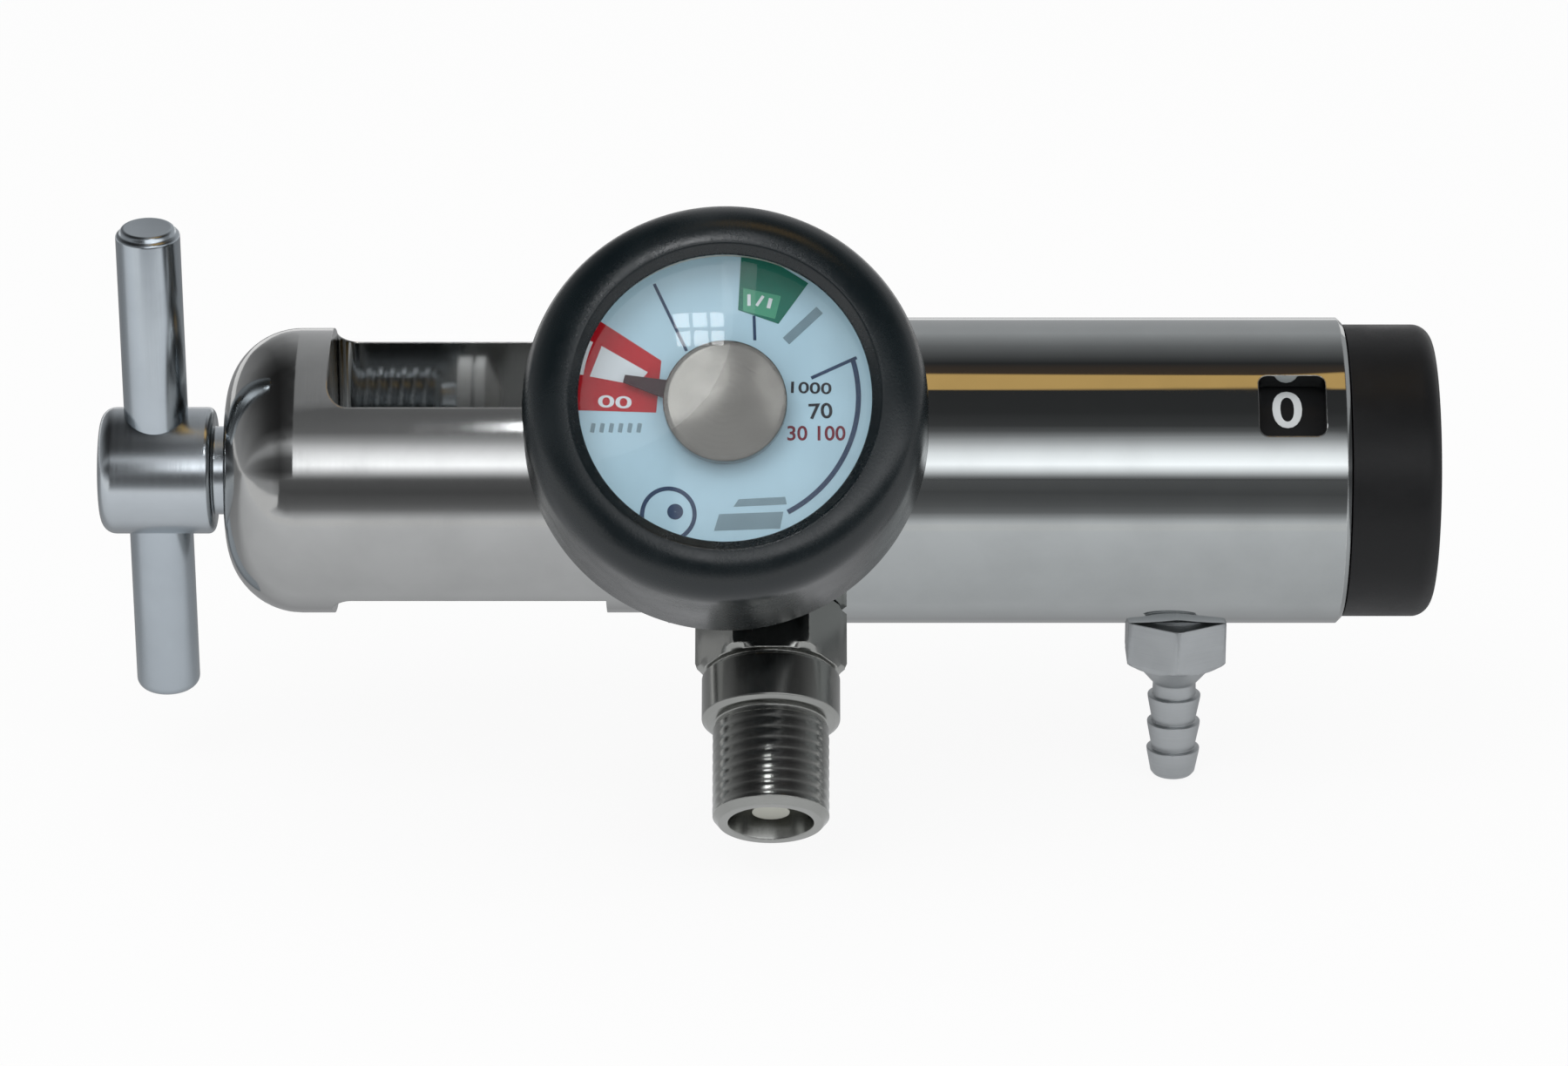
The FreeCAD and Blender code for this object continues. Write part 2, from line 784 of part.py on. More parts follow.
def block_outline():
    spigot = size.piston_bore - size.slide_fit
    groove_end = SPIGOT_GROOVE + GROOVE_WIDTH
    return [
        (BLOCK_SPIGOT, size.disc_chamber_radius),
        (BLOCK_SPIGOT, spigot),
        (SPIGOT_GROOVE, spigot),
        (SPIGOT_GROOVE, HEAD_GROOVE_FLOOR),
        (groove_end, HEAD_GROOVE_FLOOR),
        (groove_end, spigot),
        (size.body_end, spigot),
        (size.body_end, BODY_RADIUS),
        (size.block_end, BODY_RADIUS),
        (size.block_end, size.spindle_radius),
        (size.spindle_seal_station + GROOVE_WIDTH, size.spindle_radius),
        (size.spindle_seal_station + GROOVE_WIDTH, SPINDLE_GROOVE_RADIUS),
        (size.spindle_seal_station, SPINDLE_GROOVE_RADIUS),
        (size.spindle_seal_station, size.spindle_radius),
        (DISC_WALL, size.spindle_radius),
        (DISC_WALL, size.disc_chamber_radius),
    ]


def make_flow_block():
    body = new_body("flow_block")
    turn(body, block_outline())
    passage = shifted(AXIS, AXIS, -size.orifice_circle)
    drill(body, passage, DISC_WALL, size.barb_station - DISC_WALL, size.flow_passage)
    drill(body, passage, DISC_WALL, size.face_seal_depth, size.face_seal_radius)
    drill(body, BARB, size.orifice_circle, size.barb_port_floor, size.flow_passage)
    drill(body, BARB, size.barb_port_floor, size.barrel_radius, size.barb_thread_radius)
    pocket_start = size.block_end - size.detent_depth
    pocket_radius = size.ball_radius + size.seat_gap
    drill(body, detent_place(), pocket_start, size.detent_depth, pocket_radius)
    seal_ring("flow_block_seal", SPIGOT_GROOVE, HEAD_GROOVE_FLOOR, size.piston_bore)
    seal_ring("spindle_seal", size.spindle_seal_station, size.spindle_radius, SPINDLE_GROOVE_RADIUS)


def make_orifice_seal():
    body = new_body("orifice_seal", shifted(AXIS, AXIS, -size.orifice_circle))
    start = DISC_WALL + size.seat_gap
    turn(body, box_corners(start, DISC_WALL + size.face_seal_depth, size.flow_passage, size.face_seal_radius))


def step_place(step, circle):
    """A place on a circle about the barrel axis, at one of the knob's positions."""
    angle = -RIGHT_ANGLE - step * FULL_TURN / FLOW_POSITIONS
    return turned_about_x(angle).then(shifted(AXIS, circle, AXIS))


def make_orifice_disc():
    body = new_body("orifice_disc")
    end = DISC_WALL - size.seat_gap
    start = end - size.disc_thickness
    turn(body, box_corners(start, end, AXIS, size.disc_radius))
    bore = hexagon(body, "Pocket", start, size.disc_thickness, size.drive_flats)
    bore.Reversed = True
    for step in range(1, FLOW_POSITIONS):
        radius = size.orifice_smallest + size.orifice_step * (step - 1)
        drill(body, step_place(step, size.orifice_circle), start, size.disc_thickness, radius)


def make_disc_nut():
    body = new_body("disc_nut")
    end = DISC_WALL - size.seat_gap - size.disc_thickness
    hexagon(body, "Pad", end - size.nut_length, size.nut_length, size.nut_flats)
    drill(body, shifted(), end - size.nut_length, size.nut_length, size.stub_radius)


def make_spindle():
    body = new_body("spindle")
    shaft = size.spindle_radius - size.slide_fit
    disc_start = DISC_WALL - size.seat_gap - size.disc_thickness
    turn(body, box_corners(DISC_WALL, size.number_web_start - size.seat_gap, AXIS, shaft))
    flats = size.drive_flats - size.slide_fit * 2
    hexagon(body, "Pad", disc_start, size.disc_thickness + size.seat_gap, flats)
    right = size.number_web_start - size.seat_gap
    hexagon(body, "Pad", right, size.spindle_end - right, flats)
    stub = body.newObject("PartDesign::AdditiveCylinder", "stub")
    stub.setExpression("Radius", (size.stub_radius - size.screw_fit).formula)
    stub.setExpression("Height", size.stub_reach.formula)
    stub.setExpression("Placement", shifted(disc_start - size.stub_reach).then(ALONG_X).formula)
    depth = size.screw_hole_depth
    drill(body, shifted(), size.spindle_end - depth, depth, size.screw_radius)


def detent_place():
    return turned_about_x(-size.detent_angle).then(shifted(AXIS, -DETENT_CIRCLE, AXIS))


def make_detent():
    ball_centre = size.number_web_start - size.ball_gap - size.ball_radius
    ball = doc.addObject("Part::Sphere", "detent_ball")
    ball.Label = "detent_ball"
    ball.setExpression("Radius", size.ball_radius.formula)
    ball.setExpression("Placement", detent_place().then(shifted(ball_centre)).formula)
    spring = new_body("detent_spring", detent_place())
    start = size.block_end - size.detent_depth + size.seat_gap
    length = ball_centre - size.ball_radius - start - size.seat_gap
    outer = size.ball_radius - size.seat_gap
    coil(spring, start, length, outer, size.detent_wire, size.detent_wire, size.detent_turns)


def make_retaining_ring():
    body = new_body("retaining_ring")
    start = size.block_end + size.seat_gap * 2
    outer = BARREL_BORE + size.ring_groove_depth - size.slide_fit
    corners = box_corners(start, start + size.ring_thickness, outer - size.ring_width + size.slide_fit, outer)
    turn(body, corners, as_size(FULL_TURN) - size.ring_opening)


def make_number_ring():
    body = new_body("number_ring")
    start, web = size.number_web_start, NUMBER_WEB_END
    end = start + size.number_ring_length
    turn(body, [
        (start, AXIS),
        (start, NUMBER_RING_RADIUS),
        (end, NUMBER_RING_RADIUS),
        (end, NUMBER_RING_RADIUS - size.number_ring_wall),
        (web, NUMBER_RING_RADIUS - size.number_ring_wall),
        (web, AXIS),
    ])
    bore = hexagon(body, "Pocket", start, size.number_web, size.drive_flats)
    bore.Reversed = True
    for step in range(FLOW_POSITIONS):
        angle = -size.detent_angle - step * FULL_TURN / FLOW_POSITIONS
        place = turned_about_x(angle).then(shifted(AXIS, -DETENT_CIRCLE, AXIS))
        drill(body, place, start, size.dimple_depth, size.dimple_radius)


def make_knob():
    body = new_body("knob")
    start, end = KNOB_START, KNOB_END
    radius, round_radius = KNOB_RADIUS, size.knob_round
    face = end - size.knob_face
    hub_start = NUMBER_WEB_END + size.seat_gap
    turn(body, [
        (hub_start, AXIS),
        (hub_start, size.knob_hub_radius),
        (face, size.knob_hub_radius),
        (face, radius - size.knob_shell),
        (start, radius - size.knob_shell),
        (start, radius),
        (end - round_radius, radius),
        (end, radius - round_radius, round_radius),
        (end, size.cap_radius + size.seat_gap),
        (CAP_SEAT, size.cap_radius + size.seat_gap),
        (CAP_SEAT, size.screw_recess_radius),
        (KNOB_WEB_END, size.screw_recess_radius),
        (KNOB_WEB_END, AXIS),
    ])
    bore = hexagon(body, "Pocket", hub_start, size.spindle_end - hub_start, size.drive_flats)
    bore.Reversed = True
    drill(body, shifted(), size.spindle_end - CUT_MARGIN, size.knob_web + CUT_MARGIN * 2,
          size.screw_radius + size.seat_gap)
    make_knob_fasteners()


def make_knob_fasteners():
    screw = new_body("knob_screw")
    head_end = KNOB_WEB_END + size.screw_head_length
    shank = size.screw_radius - size.screw_fit
    turn(screw, [
        (KNOB_WEB_END - size.screw_grip, AXIS),
        (KNOB_WEB_END - size.screw_grip, shank),
        (KNOB_WEB_END, shank),
        (KNOB_WEB_END, size.screw_head_radius),
        (head_end, size.screw_head_radius),
        (head_end, AXIS),
    ])
    socket_depth = size.screw_head_length * HALF
    socket = hexagon(screw, "Pocket", head_end - socket_depth, socket_depth, size.screw_socket_flats)
    socket.Reversed = True
    cap = new_body("knob_cap")
    turn(cap, box_corners(CAP_SEAT, CAP_SEAT + size.cap_thickness, AXIS, size.cap_radius))


def tee_bar_place():
    """The bar's length runs along local X, upward with a lean to the front."""
    middle = (HUB_LEFT + HUB_RIGHT) * HALF
    upright = Place("placement(vector(0; 0; 0); rotationy(-90))")
    return shifted(middle).then(turned_about_x(size.tee_bar_lean)).then(upright)


def make_tee():
    screw = new_body("tee_screw")
    radius, chamfer = size.tee_hub_radius, size.tee_hub_chamfer
    thread_end = -size.tee_thread_end
    clip_left = -size.clip_start - size.seat_gap
    clip_right = -size.clip_start + size.clip_thickness + size.seat_gap
    nose_end = -size.pad_start + size.pad_bore_length - size.seat_gap * 2
    turn(screw, [
        (HUB_LEFT, AXIS),
        (HUB_LEFT, radius - chamfer),
        (HUB_LEFT + chamfer, radius),
        (HUB_RIGHT - chamfer * HALF, radius),
        (HUB_RIGHT, radius - chamfer * HALF),
        (HUB_RIGHT, size.tee_neck_radius),
        (-size.yoke_reach - size.seat_gap, size.tee_neck_radius),
        (-size.yoke_reach - size.seat_gap, size.tee_thread_radius),
        (thread_end, size.tee_thread_radius),
        (thread_end, size.tee_nose_radius),
        (clip_left, size.tee_nose_radius),
        (clip_left, size.clip_inner_radius),
        (clip_right, size.clip_inner_radius),
        (clip_right, size.tee_nose_radius),
        (nose_end, size.tee_nose_radius),
        (nose_end, AXIS),
    ])
    drill(screw, tee_bar_place(), -size.tee_hub_radius * 2, size.tee_hub_radius * 4, size.tee_bar_radius)
    bar = new_body("tee_bar", tee_bar_place())
    low = size.tee_bar_offset - size.tee_bar_length * HALF
    high = size.tee_bar_offset + size.tee_bar_length * HALF
    bar_chamfer = size.tee_bar_chamfer
    turn(bar, [
        (low, AXIS),
        (low, size.tee_bar_radius - bar_chamfer),
        (low + bar_chamfer, size.tee_bar_radius, bar_chamfer),
        (high - bar_chamfer, size.tee_bar_radius),
        (high, size.tee_bar_radius - bar_chamfer, bar_chamfer),
        (high, AXIS),
    ])


def make_swivel_pad():
    body = new_body("swivel_pad")
    start = -size.pad_start
    bore = size.tee_nose_radius + size.seat_gap
    bore_end = start + size.pad_bore_length
    first_ring = start + size.pad_ring_length
    second_ring = first_ring + size.pad_groove_length
    front = second_ring + size.pad_front_length
    clip_left = -size.clip_start - size.seat_gap * 2
    clip_right = -size.clip_start + size.clip_thickness + size.seat_gap * 2
    clip_room = size.clip_radius + size.seat_gap * 2
    neck = size.pad_radius - size.pad_groove_depth
    turn(body, [
        (start, bore),
        (start, size.pad_radius),
        (first_ring, size.pad_radius),
        (first_ring, neck),
        (second_ring, neck),
        (second_ring, size.pad_radius),
        (front, size.pad_radius),
        (-size.pad_tip, size.pad_tip_radius),
        (-size.pad_tip, AXIS),
        (bore_end, AXIS),
        (bore_end, bore),
        (clip_right, bore),
        (clip_right, clip_room),
        (clip_left, clip_room),
        (clip_left, bore),
    ])
    clip = new_body("pad_clip")
    clip_end = -size.clip_start + size.clip_thickness
    clip_inner = size.clip_inner_radius + size.slide_fit
    turn(clip, box_corners(-size.clip_start, clip_end, clip_inner, size.clip_radius))


def make_gauge_stem():
    body = new_body("gauge_stem", GAUGE)
    floor = size.gauge_port_floor + size.port_seal_thickness
    thread = size.gauge_thread_radius - size.screw_fit
    case_start = CASE_START
    case_inside = case_start + size.gauge_case_wall
    socket = size.gauge_thread_radius
    turn(body, [
        (floor, AXIS),
        (floor, thread),
        (BARREL_BORE + size.seat_gap, thread),
        (BARREL_BORE + size.seat_gap, size.gauge_collar_radius),
        (case_start, size.gauge_collar_radius),
        (case_start, size.gauge_neck_radius),
        (case_inside, size.gauge_neck_radius),
        (case_inside, socket),
        (GAUGE_SOCKET_END, socket),
        (GAUGE_SOCKET_END, AXIS),
    ])
    cross_station = GAUGE_SOCKET_END - size.gauge_socket_length * HALF
    drill(body, shifted(), floor, cross_station - floor, size.gauge_passage)
    across = shifted(cross_station).then(Place("placement(vector(0; 0; 0); rotationz(90))"))
    cross_reach = size.gauge_thread_radius + CUT_MARGIN
    drill(body, across, AXIS, cross_reach, size.gauge_passage * HALF)
    pivot_depth = size.gauge_socket_length * 0.25
    drill(body, shifted(), GAUGE_SOCKET_END - pivot_depth, pivot_depth, size.arbor_radius + size.slide_fit)


def make_gauge_case():
    body = new_body("gauge_case", GAUGE)
    start = CASE_START
    inside = start + size.gauge_case_wall
    bore = size.gauge_neck_radius + size.slide_fit
    turn(body, [
        (start, bore),
        (start, size.gauge_case_radius),
        (LENS_START, size.gauge_case_radius),
        (LENS_START, CUP_RADIUS),
        (DIAL_START, CUP_RADIUS),
        (DIAL_START, size.gauge_case_radius - size.gauge_ledge_wall),
        (inside, size.gauge_case_radius - size.gauge_ledge_wall),
        (inside, bore),
    ])


def make_gauge_movement():
    coil_body = new_body("bourdon_coil", GAUGE)
    inner = size.gauge_thread_radius + size.slide_fit
    length = size.coil_turns * size.coil_pitch + size.coil_width
    coil(coil_body, COIL_START, length, inner + size.coil_depth, size.coil_depth,
         size.coil_width, size.coil_turns)
    arbor = new_body("pointer_arbor", GAUGE)
    start = GAUGE_SOCKET_END - size.gauge_socket_length * 0.2
    plate = COIL_START + length + size.seat_gap
    plate_end = plate + size.arbor_plate
    plate_radius = inner + size.coil_depth
    turn(arbor, [
        (start, AXIS),
        (start, size.arbor_radius),
        (plate, size.arbor_radius),
        (plate, plate_radius),
        (plate_end, plate_radius),
        (plate_end, size.arbor_radius),
        (ARBOR_END, size.arbor_radius),
        (ARBOR_END, AXIS),
    ])


def make_dial():
    dial = new_body("dial", GAUGE)
    start, end = DIAL_START, DIAL_START + size.dial_thickness
    dial_edge = CUP_RADIUS - size.slide_fit
    turn(dial, box_corners(start, end, size.arbor_radius * 2, dial_edge))
    ring = new_body("dial_spacer", GAUGE)
    ring_inner = CUP_RADIUS - size.bezel_wall
    turn(ring, box_corners(end, LENS_START, ring_inner, dial_edge))


def make_pointer():
    body = new_body("pointer", GAUGE.then(turned_about_x(size.pointer_angle)))
    start = POINTER_START
    bore = size.arbor_radius
    turn(body, box_corners(start, start + size.pointer_thickness, bore, size.pointer_hub_radius))
    sketch = new_sketch(body, place=shifted(start).then(ALONG_X))
    root, tip = size.pointer_root_width * HALF, size.pointer_tip_width * HALF
    root_start = size.pointer_hub_radius * HALF
    draw_outline(sketch, [
        (root_start, -root),
        (size.pointer_length, -tip),
        (size.pointer_length, tip),
        (root_start, root),
    ])
    blade = body.newObject("PartDesign::Pad", "blade")
    blade.Profile = sketch
    blade.setExpression("Length", size.pointer_thickness.formula)
    cap = new_body("pointer_cap", GAUGE)
    foot = CAP_DOME_START
    rim = foot + size.cap_dome_edge
    top = foot + size.cap_dome_edge + size.cap_dome_rise
    arbor_room = ARBOR_END + size.slide_fit
    dome = dome_radius(size.cap_dome_radius, size.cap_dome_rise)
    turn(cap, [
        (foot, size.arbor_radius),
        (foot, size.cap_dome_radius),
        (rim, size.cap_dome_radius),
        (top, AXIS, dome),
        (arbor_room, AXIS),
        (arbor_room, size.arbor_radius),
    ])


def dome_radius(reach, rise):
    """The sphere radius of a dome with this reach from its middle and this rise."""
    return (reach * reach + rise * rise) / (rise * 2)


def make_lens():
    body = new_body("lens", GAUGE)
    start, edge = LENS_START, LENS_START + size.lens_edge
    radius = size.gauge_case_radius - size.slide_fit
    shoulder, rise = size.gauge_case_radius - size.lens_flange, size.lens_dome
    inner_reach = shoulder - size.lens_edge
    inner_rise = edge + rise - size.lens_thickness - start
    turn(body, [
        (start, inner_reach, -dome_radius(inner_reach, inner_rise)),
        (start, radius),
        (edge, radius),
        (edge, shoulder),
        (edge + rise, AXIS, dome_radius(shoulder, rise)),
        (start + inner_rise, AXIS),
    ])


def make_bezel():
    body = new_body("bezel", GAUGE)
    inner = size.gauge_case_radius + size.slide_fit
    outer = inner + size.bezel_wall
    lip_start = LENS_START + size.lens_edge + size.slide_fit
    end = lip_start + size.bezel_lip
    turn(body, [
        (BEZEL_START, inner),
        (BEZEL_START, outer),
        (end, outer),
        (end, size.gauge_case_radius - size.bezel_lip_reach),
        (lip_start, size.gauge_case_radius - size.bezel_lip_reach),
        (lip_start, inner),
    ])


def make_boot():
    body = new_body("boot", GAUGE)
    rear, front = CASE_START - size.boot_back, LENS_START + size.boot_rim
    rear_radius = BOOT_RADIUS + size.boot_taper
    lip_radius = size.gauge_case_radius - size.boot_lip_reach
    hole = size.gauge_collar_radius + size.seat_gap
    case_room = size.gauge_case_radius + size.seat_gap
    bezel_room = case_room + size.bezel_wall + size.seat_gap
    bezel_step = BEZEL_START - size.seat_gap
    lip_back = LENS_START + size.lens_edge + size.bezel_lip + size.seat_gap * 2
    lip_edge = lip_back + (front - lip_back) * 0.3
    shoulder = front - size.boot_shoulder_round
    turn(body, [
        (rear, hole),
        (rear, rear_radius - size.boot_rear_round),
        (rear + size.boot_rear_round, rear_radius, size.boot_rear_round),
        (shoulder, BOOT_RADIUS),
        (front, size.gauge_case_radius + size.boot_crest, size.boot_shoulder_round),
        (lip_edge, lip_radius),
        (lip_back, lip_radius),
        (lip_back, bezel_room),
        (bezel_step, bezel_room),
        (bezel_step, case_room),
        (CASE_START - size.seat_gap, case_room),
        (CASE_START - size.seat_gap, hole),
    ])


def make_outlet_body():
    body = new_body("outlet_body", OUTLET)
    floor = size.outlet_port_floor + size.port_seal_thickness
    thread = size.outlet_thread_radius - size.screw_fit
    neck_start = BARREL_BORE + size.seat_gap
    hexagon(body, "Pad", PORT_TOP, size.outlet_hex_length, size.outlet_hex_flats)
    chamfer_hexagon(body, OUTLET_HEX_END, size.outlet_hex_flats)
    turn(body, [
        (floor, AXIS),
        (floor, thread),
        (neck_start, thread),
        (neck_start, size.outlet_neck_radius),
        (PORT_TOP, size.outlet_neck_radius),
        (PORT_TOP, size.outlet_radius),
        (OUTLET_HEX_END, size.outlet_radius),
        (OUTLET_HEX_END, size.outlet_collar_radius),
        (OUTLET_COLLAR_END, size.outlet_collar_radius),
        (OUTLET_COLLAR_END, size.outlet_radius),
        (OUTLET_END - size.outlet_chamfer, size.outlet_radius),
        (OUTLET_END, size.outlet_radius - size.outlet_chamfer),
        (OUTLET_END, AXIS),
    ])
    drill(body, shifted(), floor, OUTLET_CAVITY_START, size.passage_radius)
    cavity_length = OUTLET_SEAT_START - OUTLET_CAVITY_START
    drill(body, shifted(), OUTLET_CAVITY_START, cavity_length, size.outlet_cavity_radius)
    seat_room = OUTLET_END - OUTLET_SEAT_START
    drill(body, shifted(), OUTLET_SEAT_START, seat_room, size.outlet_seat_radius)


def chamfer_hexagon(body, end, flats):
    """Turn a chamfer on the outer end of a hexagon's corners."""
    corner = flats * HALF * HEX_CORNER
    inner = flats * HALF
    drop = (corner - inner) * HALF
    groove(body, [
        (end - drop - CUT_MARGIN * HALF, corner + CUT_MARGIN),
        (end, inner),
        (end + CUT_MARGIN, inner),
        (end + CUT_MARGIN, corner + CUT_MARGIN),
    ])


def make_outlet_valve():
    seat = new_body("outlet_seat", OUTLET)
    start, end = OUTLET_SEAT_START, OUTLET_SEAT_START + size.outlet_seat_length
    thread = size.outlet_seat_radius - size.screw_fit
    turn(seat, box_corners(start, end, size.outlet_seat_bore, thread))
    poppet = new_body("outlet_poppet", OUTLET)
    face = start - size.seat_gap
    head = face - size.poppet_head_length
    seal_start = face - size.poppet_seal_length
    tail = head - size.poppet_tail_length
    turn(poppet, [
        (tail, AXIS),
        (tail, size.poppet_tail_radius),
        (head, size.poppet_tail_radius),
        (head, size.poppet_head_radius),
        (seal_start, size.poppet_head_radius),
        (seal_start, size.poppet_stem_radius),
        (OUTLET_END - size.poppet_drop, size.poppet_stem_radius),
        (OUTLET_END - size.poppet_drop, AXIS),
    ])
    seal = new_body("poppet_seal", OUTLET)
    turn(seal, box_corners(seal_start, face, size.poppet_stem_radius, size.poppet_seal_outer))
    spring = new_body("poppet_spring", OUTLET)
    spring_start = OUTLET_CAVITY_START + size.seat_gap
    spring_length = head - size.seat_gap - spring_start
    coil(spring, spring_start, spring_length, size.poppet_spring_radius, size.poppet_spring_wire,
         size.poppet_spring_wire, size.poppet_spring_turns)


def make_barb():
    body = new_body("hose_barb", BARB)
    floor = size.barb_port_floor + size.port_seal_thickness
    thread = size.barb_thread_radius - size.screw_fit
    neck_start = BARREL_BORE + size.seat_gap
    hexagon(body, "Pad", PORT_TOP, size.barb_hex_length, size.barb_hex_flats)
    chamfer_hexagon(body, BARB_HEX_END, size.barb_hex_flats)
    corners = [
        (floor, AXIS),
        (floor, thread),
        (neck_start, thread),
        (neck_start, size.barb_neck_radius),
        (PORT_TOP, size.barb_neck_radius),
        (PORT_TOP, size.barb_cone_radius),
        (BARB_HEX_END, size.barb_cone_radius),
        (BARB_CONE_END, size.barb_stem_radius),
    ]
    ridge_end = BARB_CONE_END + size.barb_ridge_gap
    for _ in range(BARB_RIDGES):
        corners.append((ridge_end, size.barb_stem_radius))
        corners.append((ridge_end, size.barb_ridge_radius))
        ridge_end = ridge_end + size.barb_ridge_pitch
    corners.append((ridge_end, size.barb_stem_radius * 0.9))
    corners.append((ridge_end, AXIS))
    turn(body, corners)
    drill(body, shifted(), floor, ridge_end, size.barb_bore)


def make_port_seals():
    """A flat seal at the bottom of each fitting's port."""
    ports = (
        ("gauge_seal", GAUGE, size.gauge_port_floor, size.gauge_thread_radius),
        ("outlet_seal", OUTLET, size.outlet_port_floor, size.outlet_thread_radius),
        ("barb_seal", BARB, size.barb_port_floor, size.barb_thread_radius),
    )
    for label, place, floor, radius in ports:
        body = new_body(label, place)
        end = floor + size.port_seal_thickness
        turn(body, box_corners(floor, end, radius * HALF, radius - size.seat_gap))


def check_and_export():
    doc.recompute()
    os.makedirs("parts", exist_ok=True)
    for item in doc.Objects:
        if any(word in item.State for word in ("Invalid", "Error")):
            raise RuntimeError(f"{item.Label} did not build: {item.State}")
    pieces = [item for item in doc.Objects if is_piece(item)]
    for piece in pieces:
        shape = piece.Shape
        if shape.isNull() or not shape.isValid() or len(shape.Solids) != 1:
            raise RuntimeError(f"{piece.Label} is not one sound solid")
        shape.exportStep(f"parts/{piece.Label}.step")
        print(f"{piece.Label}: {shape.Volume:.1f} mm3")
    print(f"{len(pieces)} pieces")


def is_piece(item):
    return item.TypeId == "PartDesign::Body" or item.TypeId == "Part::Sphere"


make_yoke_body()
make_index_pins()
make_inlet()
make_barrel()
make_valve_nozzle()
make_piston()
make_piston_spring()
make_flow_block()
make_orifice_seal()
make_orifice_disc()
make_disc_nut()
make_spindle()
make_detent()
make_retaining_ring()
make_number_ring()
make_knob()
make_tee()
make_swivel_pad()
make_gauge_stem()
make_gauge_case()
make_gauge_movement()
make_dial()
make_pointer()
make_lens()
make_bezel()
make_boot()
make_outlet_body()
make_outlet_valve()
make_barb()
make_port_seals()
check_and_export()
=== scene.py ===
import math

import bmesh
import bpy
from mathutils import Matrix, Vector


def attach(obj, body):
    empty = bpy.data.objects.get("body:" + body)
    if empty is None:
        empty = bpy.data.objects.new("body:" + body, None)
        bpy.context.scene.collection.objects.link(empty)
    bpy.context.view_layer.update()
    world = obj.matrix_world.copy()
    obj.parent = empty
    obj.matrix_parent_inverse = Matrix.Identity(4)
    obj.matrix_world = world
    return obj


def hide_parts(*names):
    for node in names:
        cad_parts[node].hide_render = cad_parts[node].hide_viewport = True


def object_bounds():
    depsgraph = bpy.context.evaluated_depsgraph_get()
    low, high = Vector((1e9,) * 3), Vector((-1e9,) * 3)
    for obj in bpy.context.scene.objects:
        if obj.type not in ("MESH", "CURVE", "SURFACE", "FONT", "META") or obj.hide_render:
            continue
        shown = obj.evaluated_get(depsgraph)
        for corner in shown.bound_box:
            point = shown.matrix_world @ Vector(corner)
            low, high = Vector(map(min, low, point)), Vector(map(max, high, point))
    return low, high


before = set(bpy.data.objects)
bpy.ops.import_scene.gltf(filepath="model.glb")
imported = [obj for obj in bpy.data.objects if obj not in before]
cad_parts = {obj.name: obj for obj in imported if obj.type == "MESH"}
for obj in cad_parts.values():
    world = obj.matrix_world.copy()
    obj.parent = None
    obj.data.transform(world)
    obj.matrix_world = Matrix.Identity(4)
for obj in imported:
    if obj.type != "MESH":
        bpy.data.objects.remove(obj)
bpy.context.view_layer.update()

# Lengths are millimetres, turned into metres by MM, apart from those of the floor, lamps and camera.
MM = 0.001

# Heights over the barrel's axis, in each port's own direction.
NECK_FOOT = 16.05
PORT_TOP = 19.1
DIAL_TOP = 36.4
CAP_FOOT = 37.6
LENS_FOOT = 39.6

# The ports: their stations along the barrel and their tilts over the horizontal.
GAUGE_STATION = 15.0
GAUGE_TILT = 32.0
OUTLET_STATION = 20.4
OUTLET_TILT = -45.0
BARB_STATION = 71.3
BARB_TILT = -90.0

# The gauge.
LENS_RADIUS = 19.75
LENS_SHOULDER = 18.0
BOOT_REAR = 20.6
BOOT_FRONT = 42.6
BOOT_RADIUS = 24.1

# The dial's print: its rise over the dial's middle, its largest radius and its layers.
PRINT_RAISE = 1.1
PRINT_REACH = 18.4
INK_FOOT = DIAL_TOP + 0.01
INK_LIFT = 0.04
INK_THICKNESS = 0.03

# The tee: the middle and lean of its bar, and the thread of its screw.
TEE_MIDDLE = -56.0
TEE_LEAN = 6.0
SCREW_CREST = 5.0
SCREW_DEPTH = 0.45
SCREW_PITCH = 1.5

# The number ring, and the numbers on it at their full size.
RING_RADIUS = 15.6
NUMBER_STATION = 83.7
NUMBER_TILT = 48.5
NUMBER_STEP = 30.0
NUMBER_WIDTH = 4.3
NUMBER_HEIGHT = 5.1
NUMBER_THICKNESS = 0.07
NUMBER_SLICES = 14
FLOW_NUMBERS = ("0", "½", "1", "1½", "2", "3", "4", "5", "6", "8", "10", "15")

# Steps of a rounded corner, and the angle in degrees from which an edge stays sharp.
ROUND_STEPS = 8
SHARP_ANGLE = 30.0

# Steps of a letter's curves, and how much its strokes are fattened.
LETTER_STEPS = 5
LETTER_OFFSET = 0.014


def port(station, tilt):
    """A place on the barrel's axis, with z outwards at this tilt and x along the barrel."""
    turn = math.radians(tilt)
    along = Vector((1.0, 0.0, 0.0))
    outwards = Vector((0.0, -math.cos(turn), math.sin(turn)))
    place = Matrix((along, outwards.cross(along), outwards)).transposed().to_4x4()
    place.translation = along * station * MM
    return place


GAUGE = port(GAUGE_STATION, GAUGE_TILT)
OUTLET = port(OUTLET_STATION, OUTLET_TILT)
BARB = port(BARB_STATION, BARB_TILT)
TEE_BAR = port(TEE_MIDDLE, 90.0 - TEE_LEAN)
AXIS = Matrix(((0, 0, 1, 0), (1, 0, 0, 0), (0, 1, 0, 0), (0, 0, 0, 1)))


# Materials

